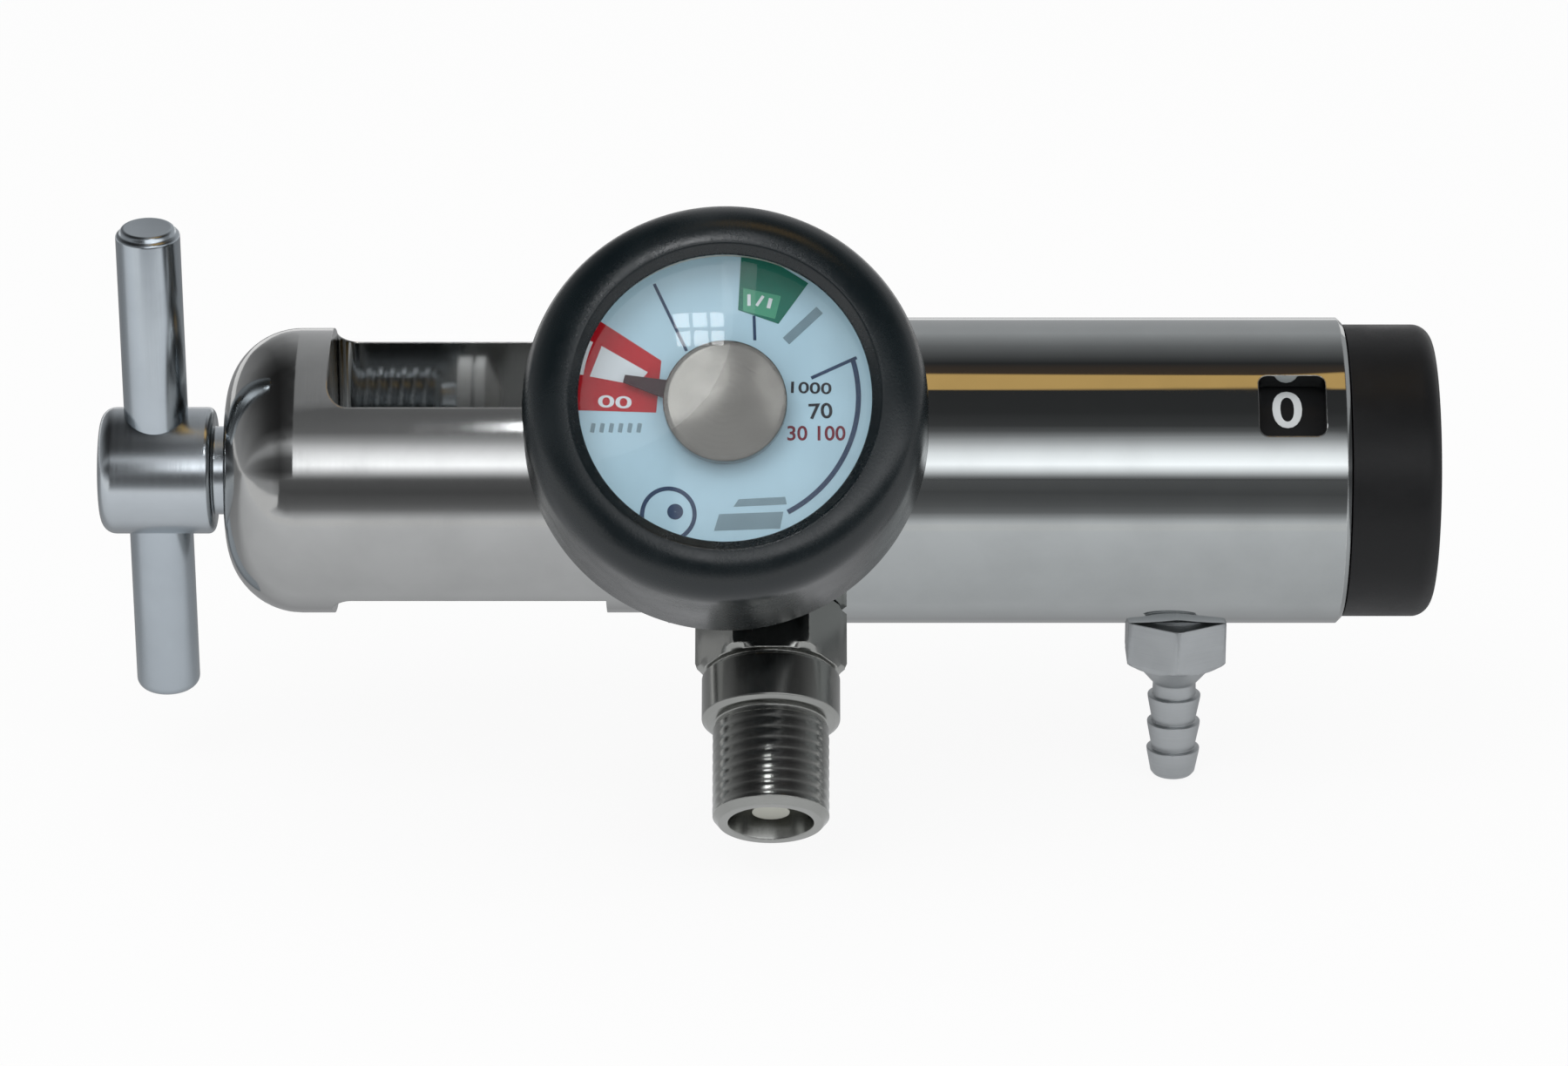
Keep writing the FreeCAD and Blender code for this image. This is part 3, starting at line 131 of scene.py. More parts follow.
# Sizes and depths of the marks on each kind of surface.
LINE_SIZE = 0.12
SMUDGE_SIZE = 7.0
SPOT_SIZE = 0.9
WAVE_SIZE = 9.0
WAVE_DEPTH = 0.004
METAL_EDGE = 0.22
CLOUD_SIZE = 6.0
MOULDED_EDGE = 0.3
MOTTLE_SIZE = 0.18
MOTTLE_DEPTH = 0.004
FADE_SIZE = 5.0
CAP_CLOUD_SIZE = 2.5
CAP_EDGE = 0.15
CAP_RING_DEPTH = 0.0006
SMEAR_SIZE = 4.0
LENS_WAVE_SIZE = 12.0
LENS_WAVE_DEPTH = 0.02

# Numbers that have no unit.
NOISE_ROUGHNESS = 0.55
SMUDGED_TONE = 0.93
DUSTY_TONE = 1.24
CAP_TONE = 0.82
CAP_RING_SCALE = 420.0
WORN_ROUGHNESS = 0.12
PAINT_GLOSS = 0.12
LENS_IOR = 1.3


class NodeTree:
    """A node tree that is built by short calls."""

    def __init__(self, tree):
        self.nodes = tree.nodes
        self.links = tree.links

    def join(self, value, socket):
        if isinstance(value, bpy.types.NodeSocket):
            self.links.new(value, socket)
        elif hasattr(socket.default_value, "__len__") and len(value) < len(socket.default_value):
            socket.default_value = (*value, 1.0)
        else:
            socket.default_value = value

    def add(self, kind, inputs=None, **settings):
        node = self.nodes.new(kind)
        for key, value in settings.items():
            setattr(node, key, value)
        for key, value in (inputs or {}).items():
            self.join(value, node.inputs[key])
        return node

    def spread(self, value, low, high, to_low=0.0, to_high=1.0):
        return self.add("ShaderNodeMapRange", {
            "Value": value, "From Min": low, "From Max": high, "To Min": to_low, "To Max": to_high,
        }).outputs["Result"]

    def sum(self, first, second, operation="ADD", clamp=False):
        node = self.add("ShaderNodeMath", {0: first, 1: second}, operation=operation, use_clamp=clamp)
        return node.outputs[0]

    def mix(self, factor, first, second):
        node = self.add("ShaderNodeMix", {0: factor, 6: first, 7: second}, data_type="RGBA")
        return node.outputs[2]

    def showing_rays(self):
        """1 for the rays that show a background, and 0 for those that only light the object."""
        path = self.add("ShaderNodeLightPath").outputs
        seen = self.sum(path["Is Camera Ray"], path["Is Glossy Ray"])
        return self.sum(seen, path["Is Transmission Ray"], clamp=True)


class Finish(NodeTree):
    """A material, with patterns that lie in its object's own axes."""

    def __init__(self, name, **values):
        self.material = bpy.data.materials.new(name)
        self.material.use_nodes = True
        super().__init__(self.material.node_tree)
        self.shader = self.nodes["Principled BSDF"]
        self.place = self.add("ShaderNodeTexCoord").outputs["Object"]
        for socket, value in values.items():
            self.give(socket.replace("_", " "), value)

    def give(self, socket, value):
        self.join(value, self.shader.inputs[socket])

    def show(self, shader, share=None):
        """Puts a shader on the surface, or mixes it in by its share over the main one."""
        if share is not None:
            main = self.shader.outputs[0]
            shader = self.add("ShaderNodeMixShader", {0: share, 1: main, 2: shader.outputs[0]})
        self.join(shader.outputs[0], self.nodes["Material Output"].inputs["Surface"])

    def noise(self, size, detail, stretch=(1, 1, 1)):
        """Cloudy noise with features of this size in millimetres, longer where stretched."""
        scale = [1.0 / (size * MM * part) for part in stretch]
        spot = self.add("ShaderNodeMapping", {"Vector": self.place, "Scale": scale})
        return self.add("ShaderNodeTexNoise", {
            "Vector": spot.outputs[0], "Scale": 1.0, "Detail": detail, "Roughness": NOISE_ROUGHNESS,
        }).outputs["Fac"]

    def rounded_normal(self, width):
        return self.add("ShaderNodeBevel", {"Radius": width * MM}, samples=6).outputs["Normal"]

    def edges(self, width):
        """1 on the edges and 0 on open surfaces, by how far a rounded normal turns."""
        flat = self.add("ShaderNodeNewGeometry").outputs["Normal"]
        turn = self.add("ShaderNodeVectorMath", {0: self.rounded_normal(width), 1: flat},
                        operation="DOT_PRODUCT").outputs["Value"]
        return self.spread(turn, 0.995, 0.86)

    def bump(self, layers, normal=None):
        """Bumps one over the other: each a height and its depth in millimetres."""
        for height, depth in layers:
            inputs = {"Height": height, "Distance": depth * MM}
            if normal is not None:
                inputs["Normal"] = normal
            normal = self.add("ShaderNodeBump", inputs).outputs["Normal"]
        self.give("Normal", normal)


def toned(colour, share):
    return [part * share for part in colour]


def metal(name, colour, worn, rough, grain, line_depth=0.0006, smudge=0.06):
    """Machined metal: fine lines across the stretch of its grain, smudges and worn edges."""
    finish = Finish(name, Metallic=1.0)
    lines = finish.noise(LINE_SIZE, 4.0, grain)
    smudges = finish.noise(SMUDGE_SIZE, 5.0)
    spots = finish.noise(SPOT_SIZE, 2.0)
    waves = finish.noise(WAVE_SIZE, 1.0)
    wear = finish.edges(METAL_EDGE)
    tone = finish.mix(finish.spread(smudges, 0.35, 0.72), colour, toned(colour, SMUDGED_TONE))
    scratched = finish.sum(wear, finish.spread(spots, 0.35, 0.6), "MULTIPLY", clamp=True)
    finish.give("Base Color", finish.mix(scratched, tone, worn))
    streaks = finish.spread(lines, 0.3, 0.7, rough * 0.85, rough * 1.2)
    marks = finish.spread(smudges, 0.48, 0.8, 0.0, smudge)
    rubbed = finish.sum(scratched, WORN_ROUGHNESS, "MULTIPLY")
    finish.give("Roughness", finish.sum(finish.sum(streaks, marks), rubbed))
    finish.bump([(lines, line_depth), (waves, WAVE_DEPTH)], finish.rounded_normal(METAL_EDGE))
    return finish.material


def moulded(name, colour, worn, rough, grain, depth, gloss=0.5):
    """Moulded rubber or plastic: a fine grain, rubbed edges and faint dust."""
    finish = Finish(name, Specular_IOR_Level=gloss)
    pits = finish.noise(grain, 4.0)
    clouds = finish.noise(CLOUD_SIZE, 4.0)
    rub = finish.sum(finish.edges(MOULDED_EDGE), finish.spread(clouds, 0.3, 0.7), "MULTIPLY", clamp=True)
    tone = finish.mix(finish.spread(clouds, 0.4, 0.75), colour, toned(colour, DUSTY_TONE))
    finish.give("Base Color", finish.mix(rub, tone, worn))
    patches = finish.spread(clouds, 0.3, 0.7, rough - 0.05, rough + 0.07)
    finish.give("Roughness", finish.sum(patches, finish.spread(pits, 0.3, 0.7, -0.03, 0.04)))
    finish.bump([(pits, depth)], finish.rounded_normal(MOULDED_EDGE))
    return finish.material


def paint(name, colour, rough=0.45, fade=0.9):
    """Printed ink or paint with a faint mottle."""
    finish = Finish(name, Specular_IOR_Level=PAINT_GLOSS)
    mottle = finish.noise(MOTTLE_SIZE, 3.0)
    clouds = finish.noise(FADE_SIZE, 3.0)
    finish.give("Base Color", finish.mix(finish.spread(clouds, 0.3, 0.7), colour, toned(colour, fade)))
    finish.give("Roughness", finish.spread(mottle, 0.3, 0.7, rough - 0.06, rough + 0.06))
    finish.bump([(mottle, MOTTLE_DEPTH)])
    return finish.material


def brushed_rings(name, colour, rough):
    """Metal turned on a lathe, with rings about its own z axis."""
    finish = Finish(name, Metallic=1.0, Anisotropic=0.3)
    rings = finish.add("ShaderNodeTexWave", {
        "Vector": finish.place, "Scale": CAP_RING_SCALE, "Distortion": 0.2, "Detail": 3.0,
        "Detail Scale": 2.0,
    }, wave_type="RINGS", rings_direction="Z").outputs["Fac"]
    clouds = finish.noise(CAP_CLOUD_SIZE, 4.0)
    tone = finish.mix(finish.spread(clouds, 0.3, 0.7), colour, toned(colour, CAP_TONE))
    finish.give("Base Color", tone)
    brushed = finish.spread(rings, 0.0, 1.0, rough - 0.03, rough + 0.03)
    finish.give("Roughness", finish.sum(brushed, finish.spread(clouds, 0.3, 0.7, -0.03, 0.05)))
    around = finish.add("ShaderNodeTangent", direction_type="RADIAL", axis="Z")
    finish.give("Tangent", around.outputs[0])
    finish.bump([(rings, CAP_RING_DEPTH)], finish.rounded_normal(CAP_EDGE))
    return finish.material


def clear_lens(name):
    """Clear moulded plastic that lets the light through to the dial."""
    finish = Finish(name, Base_Color=(0.96, 0.985, 1.0), IOR=LENS_IOR, Transmission_Weight=1.0)
    smear = finish.noise(SMEAR_SIZE, 4.0)
    finish.give("Roughness", finish.spread(smear, 0.4, 0.8, 0.015, 0.06))
    finish.bump([(finish.noise(LENS_WAVE_SIZE, 1.0), LENS_WAVE_DEPTH)])
    path = finish.add("ShaderNodeLightPath").outputs
    open_rays = finish.sum(path["Is Shadow Ray"], path["Is Diffuse Ray"], clamp=True)
    passing = finish.add("ShaderNodeBsdfTransparent", {"Color": (0.96, 0.98, 1.0)})
    finish.show(passing, open_rays)
    return finish.material


# How far each grain's noise is stretched along x, y and z.
BARREL_GRAIN = (1, 60, 60)
PORT_GRAIN = (60, 60, 1)
DRAWN_GRAIN = (1, 1, 90)

FINISHES = {
    "chrome": metal("polished_nickel", (0.41, 0.43, 0.43), (0.62, 0.62, 0.61), 0.035, BARREL_GRAIN),
    "yoke": metal("yoke_nickel", (0.42, 0.425, 0.42), (0.62, 0.62, 0.61), 0.09, BARREL_GRAIN,
                  line_depth=0.0003),
    "fitting": metal("warm_nickel", (0.33, 0.335, 0.32), (0.5, 0.5, 0.47), 0.2, DRAWN_GRAIN,
                     line_depth=0.0004),
    "steel": metal("satin_steel", (0.5, 0.54, 0.57), (0.68, 0.7, 0.73), 0.3, BARREL_GRAIN,
                   line_depth=0.002, smudge=0.08),
    "bar": metal("drawn_steel", (0.47, 0.52, 0.56), (0.66, 0.69, 0.72), 0.2, DRAWN_GRAIN,
                 line_depth=0.0012),
    "hub": metal("turned_steel", (0.5, 0.54, 0.57), (0.68, 0.7, 0.73), 0.2, PORT_GRAIN,
                 line_depth=0.0012),
    # The swivel pad's near-white colour is a painted highlight: it stands in for the bright rings that its
    # polished steel shows.
    "pad": moulded("pad_painted_highlight_white", (0.86, 0.88, 0.89), (0.9, 0.9, 0.9), 0.3, 0.2, 0.004, gloss=0.8),
    "seat": metal("pale_brass", (0.5, 0.5, 0.44), (0.6, 0.6, 0.54), 0.4, PORT_GRAIN, line_depth=0.002),
    "pale": metal("bead_blasted_nickel", (0.47, 0.49, 0.5), (0.62, 0.63, 0.64), 0.42, PORT_GRAIN,
                  line_depth=0.003, smudge=0.08),
    "brass": metal("turned_brass", (0.72, 0.5, 0.2), (0.85, 0.68, 0.4), 0.2, BARREL_GRAIN,
                   line_depth=0.002),
    "aluminium": metal("turned_aluminium", (0.7, 0.71, 0.72), (0.85, 0.85, 0.85), 0.28, PORT_GRAIN,
                       line_depth=0.002),
    "rubber": moulded("black_rubber", (0.0035, 0.0075, 0.0095), (0.02, 0.028, 0.032), 0.24, 0.35, 0.012),
    "seal": moulded("seal_plastic", (0.5, 0.48, 0.42), (0.62, 0.6, 0.55), 0.5, 0.2, 0.01),
    "plastic": moulded("black_plastic", (0.009, 0.0093, 0.01), (0.035, 0.035, 0.038), 0.4, 0.22, 0.008,
                       gloss=0.2),
    "dial": paint("pale_dial_paint", (0.47, 0.655, 0.74), 0.5, 0.94),
    "red": paint("red_dial_ink", (0.46, 0.004, 0.012)),
    "green": paint("green_dial_ink", (0.02, 0.16, 0.11)),
    "light_green": paint("light_green_dial_ink", (0.08, 0.33, 0.2)),
    "navy": paint("navy_dial_ink", (0.02, 0.045, 0.1)),
    "black": paint("black_dial_ink", (0.012, 0.013, 0.018)),
    "dark_red": paint("dark_red_dial_ink", (0.16, 0.006, 0.02)),
    "grey": paint("grey_dial_ink", (0.2, 0.29, 0.33)),
    "white": paint("white_paint", (0.72, 0.75, 0.76), 0.4, 0.93),
    "pointer": paint("pointer_paint", (0.03, 0.008, 0.012), 0.35),
    "cap": brushed_rings("brushed_cap", (0.19, 0.18, 0.166), 0.16),
    "lens": clear_lens("clear_lens"),
}

SLOT_FINISH = {
    "yoke_metal": "chrome", "fitting_metal": "fitting", "steel": "steel", "brass": "brass",
    "aluminium": "aluminium", "rubber": "rubber", "seal_plastic": "seal", "black_plastic": "plastic",
    "dial_paint": "dial", "pointer_paint": "pointer", "lens": "lens",
}

NODE_FINISH = {
    "yoke_body": "yoke", "swivel_pad": "pad", "outlet_seat": "seat", "outlet_poppet": "seat",
}


def finish_frame():
    """Gives every CAD node the finish of its slot, and a few their own."""
    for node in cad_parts.values():
        for place, material in enumerate(node.data.materials):
            slot = material.name.split(".")[0]
            node.data.materials[place] = FINISHES[SLOT_FINISH[slot]]
    for name, finish in NODE_FINISH.items():
        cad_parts[name].data.materials[0] = FINISHES[finish]


# Geometry

def rounded(corners):
    """The outline through corners (height, radius), with an arc where a third number gives its radius."""
    points = []
    for index, corner in enumerate(corners):
        here = Vector(corner[:2])
        if len(corner) < 3:
            points.append(here)
            continue
        back = (Vector(corners[index - 1][:2]) - here).normalized()
        ahead = (Vector(corners[(index + 1) % len(corners)][:2]) - here).normalized()
        half = back.angle(ahead) / 2
        centre = here + (back + ahead).normalized() * corner[2] / math.sin(half)
        first = here + back * corner[2] / math.tan(half) - centre
        last = here + ahead * corner[2] / math.tan(half) - centre
        sweep = first.angle_signed(last)
        for step in range(ROUND_STEPS + 1):
            points.append(centre + Matrix.Rotation(-sweep * step / ROUND_STEPS, 2) @ first)
    return points


def dome(height, reach, rise, steps):
    """Points of a dome from its rim to its middle."""
    radius = (reach * reach + rise * rise) / (2 * rise)
    spread = math.asin(reach / radius)
    return [
        (height + rise - radius * (1 - math.cos(spread * (1 - step / steps))),
         radius * math.sin(spread * (1 - step / steps)))
        for step in range(steps + 1)
    ]


def straight(start, end, radius, step):
    """Points along a plain wall, for a thread to be cut in."""
    count = max(1, round(abs(end - start) / step))
    return [(start + (end - start) * index / count, radius) for index in range(count + 1)]


class Hexagon:
    """Flats cut on a turned shape between two heights."""

    def __init__(self, low, high, flats, turn=0.0):
        self.low, self.high, self.apothem, self.turn = low, high, flats / 2, math.radians(turn)

    def __call__(self, height, radius, angle):
        if self.low <= height <= self.high:
            side = math.radians(60)
            fold = (angle - self.turn + side / 2) % side - side / 2
            return min(radius, self.apothem / math.cos(fold))
        return radius


class Thread:
    """A helical thread cut on a turned shape between two heights."""

    def __init__(self, low, high, crest, depth, pitch):
        self.low, self.high, self.crest, self.depth, self.pitch = low, high, crest, depth, pitch

    def __call__(self, height, radius, angle):
        if not self.low <= height <= self.high or abs(radius - self.crest) > 0.01:
            return radius
        turn = (height / self.pitch - angle / math.tau) % 1.0
        groove = min(1.0, max(0.0, 1.35 - abs(turn - 0.5) * 4.2))
        fade = min(1.0, (height - self.low) / self.pitch, (self.high - height) / (self.pitch * 0.4))
        return radius - self.depth * groove * fade


def new_piece(name, work, material):
    """Turns a bmesh into an object of one material."""
    mesh = bpy.data.meshes.new(name)
    work.to_mesh(mesh)
    work.free()
    mesh.materials.append(material)
    piece = bpy.data.objects.new(name, mesh)
    bpy.context.scene.collection.objects.link(piece)
    return piece


def thicken(piece, thickness):
    solid = piece.modifiers.new("thickness", "SOLIDIFY")
    solid.thickness = thickness * MM
    solid.offset = 1.0


def turned(name, corners, place, finish, segments, cuts=()):
    """A turned solid about z from a closed outline of heights and radii, with flats or threads cut."""
    work = bmesh.new()
    rings = []
    for height, radius in rounded(list(corners)):
        if radius < 1e-4:
            rings.append([work.verts.new((0, 0, height * MM))])
            continue
        ring = []
        for index in range(segments):
            angle = math.tau * index / segments
            reach = radius
            for cut in cuts:
                reach = cut(height, reach, angle)
            point = (reach * math.cos(angle) * MM, reach * math.sin(angle) * MM, height * MM)
            ring.append(work.verts.new(point))
        rings.append(ring)
    for first, second in zip(rings, rings[1:] + rings[:1]):
        if len(first) == 1 and len(second) == 1:
            continue
        for index in range(segments):
            after = (index + 1) % segments
            around = (first[index % len(first)], first[after % len(first)],
                      second[after % len(second)], second[index % len(second)])
            work.faces.new(list(dict.fromkeys(around)))
    bmesh.ops.recalc_face_normals(work, faces=work.faces)
    for face in work.faces:
        face.smooth = True
    piece = new_piece(name, work, FINISHES[finish])
    piece.data.set_sharp_from_angle(angle=math.radians(SHARP_ANGLE))
    piece.matrix_world = place
    return piece


def stand_for(piece, body, slot, *nodes):
    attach(piece, body)
    if nodes:
        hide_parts(*nodes)


def make_boot():
    """The rubber boot, with room inside for the gauge's case and bezel and a lip over the bezel."""
    case_room, case_floor = 19.9, 22.4
    bezel_room, bezel_floor, bezel_cover = 20.5, 36.4, 41.15
    stem_hole, lip = 6.1, 17.35
    corners = [
        (BOOT_REAR, stem_hole),
        (BOOT_REAR, BOOT_RADIUS + 0.5, 2.0),
        (BOOT_FRONT, BOOT_RADIUS, 5.2),
        (BOOT_FRONT, lip + 1.25, 0.4),
        (bezel_cover + 0.35, lip + 0.15, 0.25),
        (bezel_cover + 0.05, lip, 0.12),
        (bezel_cover, lip + 0.65),
        (bezel_cover, bezel_room),
        (bezel_floor, bezel_room),
        (bezel_floor, case_room),
        (case_floor, case_room),
        (case_floor, stem_hole),
    ]
    piece = turned("rubber_boot", corners, GAUGE, "rubber", 192)
    # Its mesh lies in the part's own axes, so that its box fits it closely.
    piece.data.transform(GAUGE)
    piece.matrix_world = Matrix.Identity(4)
    stand_for(piece, "regulator", "rubber", "boot")


def make_lens():
    """The domed lens, with a flat flange round its foot."""
    wall, steps, flange_round = 0.8, 24, 0.2
    outer_rise, inner_rise = 1.9, 1.5
    corners = dome(LENS_FOOT + wall, LENS_SHOULDER, outer_rise, steps)
    corners += reversed(dome(LENS_FOOT, LENS_SHOULDER - wall, inner_rise, steps))
    corners += [(LENS_FOOT, LENS_RADIUS, flange_round), (LENS_FOOT + wall, LENS_RADIUS, flange_round)]
    piece = turned("lens_dome", corners, GAUGE, "lens", 192)
    stand_for(piece, "regulator", "lens", "lens")


def make_cap():
    """The pointer's cap, with a low domed face and a blind bore behind it."""
    radius, bore = 7.35, 0.6
    rim = CAP_FOOT + 1.75
    shoulder = rim + 0.35
    bore_end = CAP_FOOT + 1.08
    corners = [
        (CAP_FOOT, bore), (CAP_FOOT, radius, 0.1), (rim, radius, 0.3), (shoulder, radius - 0.6, 0.15),
    ]
    corners += dome(shoulder + 0.02, radius - 0.75, 0.65, 20)
    corners += [(bore_end, 0.0), (bore_end, bore)]
    piece = turned("brushed_cap", corners, GAUGE, "cap", 144)
    stand_for(piece, "needle", "aluminium", "pointer_cap")


def make_outlet():
    """The outlet's body: shank, neck, hexagon, collar and thread, with its cavity and mouth."""
    bore, shank, neck = 1.5, 5.47, 6.2
    foot, end = 11.3, 47.5
    flats, hexagon, hexagon_end = 16.2, 9.35, 26.3
    waist, collar, collar_start, collar_end = 7.7, 8.5, 28.4, 33.9
    relief, thread_start = 6.85, 34.6
    crest, depth, pitch = 7.14, 0.05, 1.411
    mouth, mouth_floor, cavity, cavity_floor = 5.2, 38.0, 4.6, 24.0
    corners = [
        (foot, bore),
        (foot, shank),
        (NECK_FOOT, shank),
        (NECK_FOOT, neck),
        (PORT_TOP - 0.02, neck),
        (PORT_TOP, hexagon - 0.75),
        (PORT_TOP + 0.5, hexagon),
        (hexagon_end, hexagon),
        (hexagon_end + 0.6, hexagon - 0.25),
        (hexagon_end + 1.2, hexagon - 1.05),
        (hexagon_end + 1.4, waist),
        (collar_start - 0.3, waist),
        (collar_start, collar, 0.2),
        (collar_end, collar, 0.35),
        (collar_end + 0.4, collar - 0.6, 0.2),
        (thread_start - 0.1, relief, 0.15),
        (thread_start + 0.6, relief, 0.1),
    ]
    corners += straight(thread_start + 0.7, end - 0.9, crest, pitch / 10)
    corners += [
        (end, crest - 0.74, 0.15),
        (end, mouth + 0.1, 0.12),
        (end - 0.2, mouth),
        (mouth_floor, mouth),
        (mouth_floor, cavity),
        (cavity_floor, cavity),
        (cavity_floor, bore),
    ]
    cuts = (
        Hexagon(PORT_TOP - 0.01, hexagon_end + 1.3, flats, 30.0),
        Thread(thread_start, end - 0.6, crest, depth, pitch),
    )
    piece = turned("threaded_outlet", corners, OUTLET, "fitting", 144, cuts)
    stand_for(piece, "regulator", "fitting_metal", "outlet_body")


def make_barb():
    """The hose barb: shank, neck, hexagon, cone and ridges."""
    bore, shank, neck, foot = 1.3, 3.97, 4.6, 10.8
    flats, hexagon, hexagon_end = 12.3, 7.1, 24.5
    cone, stem, cone_end = 5.2, 2.7, 28.3
    crest, valley = 3.35, 2.75
    ridges, first_ridge, ridge_pitch = 3, 30.0, 3.6
    corners = [
        (foot, bore),
        (foot, shank),
        (NECK_FOOT, shank),
        (NECK_FOOT, neck),
        (PORT_TOP - 0.02, neck),
        (PORT_TOP, hexagon - 0.2),
        (PORT_TOP + 0.2, hexagon),
        (hexagon_end, hexagon),
        (hexagon_end + 0.4, hexagon - 0.35),
        (hexagon_end + 0.8, hexagon - 1.0),
        (hexagon_end + 0.85, cone, 0.1),
        (cone_end, stem, 0.5),
    ]
    for index in range(ridges):
        ridge = first_ridge + ridge_pitch * index
        corners += [
            (ridge - 0.1, valley, 0.08),
            (ridge, crest, 0.08),
            (ridge + 0.5, crest - 0.05, 0.3),
            (ridge + 3.1, valley + 0.05),
        ]
    end = first_ridge + ridge_pitch * ridges
    corners += [(end, 2.4, 0.3), (end, bore, 0.1)]
    cuts = (Hexagon(PORT_TOP - 0.01, hexagon_end + 0.9, flats),)
    piece = turned("barbed_spigot", corners, BARB, "pale", 120, cuts)
    stand_for(piece, "regulator", "fitting_metal", "hose_barb")


def make_tee_bar():
    low, high, radius = -30.1, 33.1, 3.97
    corners = [
        (low, 0.0),
        (low, radius, 1.3),
        (high - 0.9, radius, 0.5),
        (high - 0.7, radius - 0.45, 0.2),
        (high, radius - 0.75, 0.5),
        (high - 0.25, 0.0),
    ]
    piece = turned("tee_handle_bar", corners, TEE_BAR, "bar", 96)
    stand_for(piece, "tee", "steel", "tee_bar")


def make_tee_screw():
    """The tee's hub, neck, thread and nose, with the groove that holds the pad's clip."""
    hub, hub_left, hub_right = 7.9, -63.1, -48.9
    neck, neck_end = 5.5, -47.35
    thread_start, thread_end = -46.0, -22.0
    nose, nose_end = 3.0, -16.4
    groove, groove_left, groove_right = 2.5, -18.85, -18.15
    corners = [
        (hub_left, 0.0),
        (hub_left, hub, 1.9),
        (hub_right, hub, 0.9),
        (hub_right, neck, 0.2),
        (neck_end, neck, 0.15),
        (neck_end, SCREW_CREST),
    ]
    corners += straight(neck_end + 0.15, thread_end - 0.6, SCREW_CREST, SCREW_PITCH / 8)
    corners += [
        (thread_end, SCREW_CREST - 0.6, 0.2),
        (thread_end, nose, 0.3),
        (groove_left, nose),
        (groove_left, groove),
        (groove_right, groove),
        (groove_right, nose),
        (nose_end, nose, 0.4),
        (nose_end, 0.0),
    ]
    cuts = (Thread(thread_start, thread_end - 0.3, SCREW_CREST, SCREW_DEPTH, SCREW_PITCH),)
    piece = turned("tee_screw_threaded", corners, AXIS, "hub", 96, cuts)
    stand_for(piece, "tee", "steel", "tee_screw")


# Print

def letters(text):
    """A text's filled outline in a box of 1 by 1 about its middle, as points and faces."""
    curve = bpy.data.curves.new("text", "FONT")
    curve.body = text
    curve.resolution_u = LETTER_STEPS
    curve.offset = LETTER_OFFSET
    holder = bpy.data.objects.new("text", curve)
    mesh = bpy.data.meshes.new_from_object(holder)
    bpy.data.objects.remove(holder)
    xs = [vertex.co.x for vertex in mesh.vertices]
    ys = [vertex.co.y for vertex in mesh.vertices]
    wide, high = max(xs) - min(xs), max(ys) - min(ys)
    points = [((x - min(xs)) / wide - 0.5, (y - min(ys)) / high - 0.5) for x, y in zip(xs, ys)]
    faces = [tuple(face.vertices) for face in mesh.polygons]
    bpy.data.meshes.remove(mesh)
    return points, faces


def written(text, middle, size, slant=0.0):
    """A text of this width and height about a middle, turned by its slant in degrees."""
    points, faces = letters(text)
    turn = Matrix.Rotation(math.radians(slant), 2)
    placed = [turn @ Vector((x * size[0], y * size[1])) + Vector(middle) for x, y in points]
    return placed, faces


def field(*points):
    """A flat patch with these corners, in millimetres."""
    return [Vector(point) for point in points], [tuple(range(len(points)))]


def band(middle, radius, width, start, end, steps=48):
    """A flat arc of this width about a middle, between two angles in degrees."""
    points = []
    for index in range(steps + 1):
        angle = math.radians(start + (end - start) * index / steps)
        ray = Vector((math.cos(angle), math.sin(angle)))
        points += [Vector(middle) + ray * (radius - width / 2), Vector(middle) + ray * (radius + width / 2)]
    faces = [(2 * i, 2 * i + 1, 2 * i + 3, 2 * i + 2) for i in range(steps)]
    return points, faces


def line(first, last, width):
    first, last = Vector(first), Vector(last)
    side = (last - first).orthogonal().normalized() * width / 2
    return field(first + side, last + side, last - side, first - side)


def face_outwards(work, outwards):
    """Turns each face to look the way that outwards gives for its middle."""
    for face in work.faces:
        face.normal_update()
        if face.normal.dot(outwards(face.calc_center_median())) < 0:
            face.normal_flip()


def printed(name, finish, shapes, layer=0):
    """Ink lying on the dial: flat shapes with a little thickness, kept inside the dial's edge."""
    height = INK_FOOT + INK_LIFT * layer
    work = bmesh.new()
    for points, faces in shapes:
        verts = []
        for point in points:
            place = Vector(point) + Vector((0.0, PRINT_RAISE))
            place *= min(1.0, PRINT_REACH / max(place.length, 0.1))
            verts.append(work.verts.new((place.x * MM, place.y * MM, height * MM)))
        for face in faces:
            work.faces.new([verts[index] for index in face])
    face_outwards(work, lambda middle: Vector((0.0, 0.0, 1.0)))
    piece = new_piece(name, work, FINISHES[finish])
    piece.matrix_world = GAUGE
    thicken(piece, INK_THICKNESS)
    stand_for(piece, "regulator", "dial_paint")


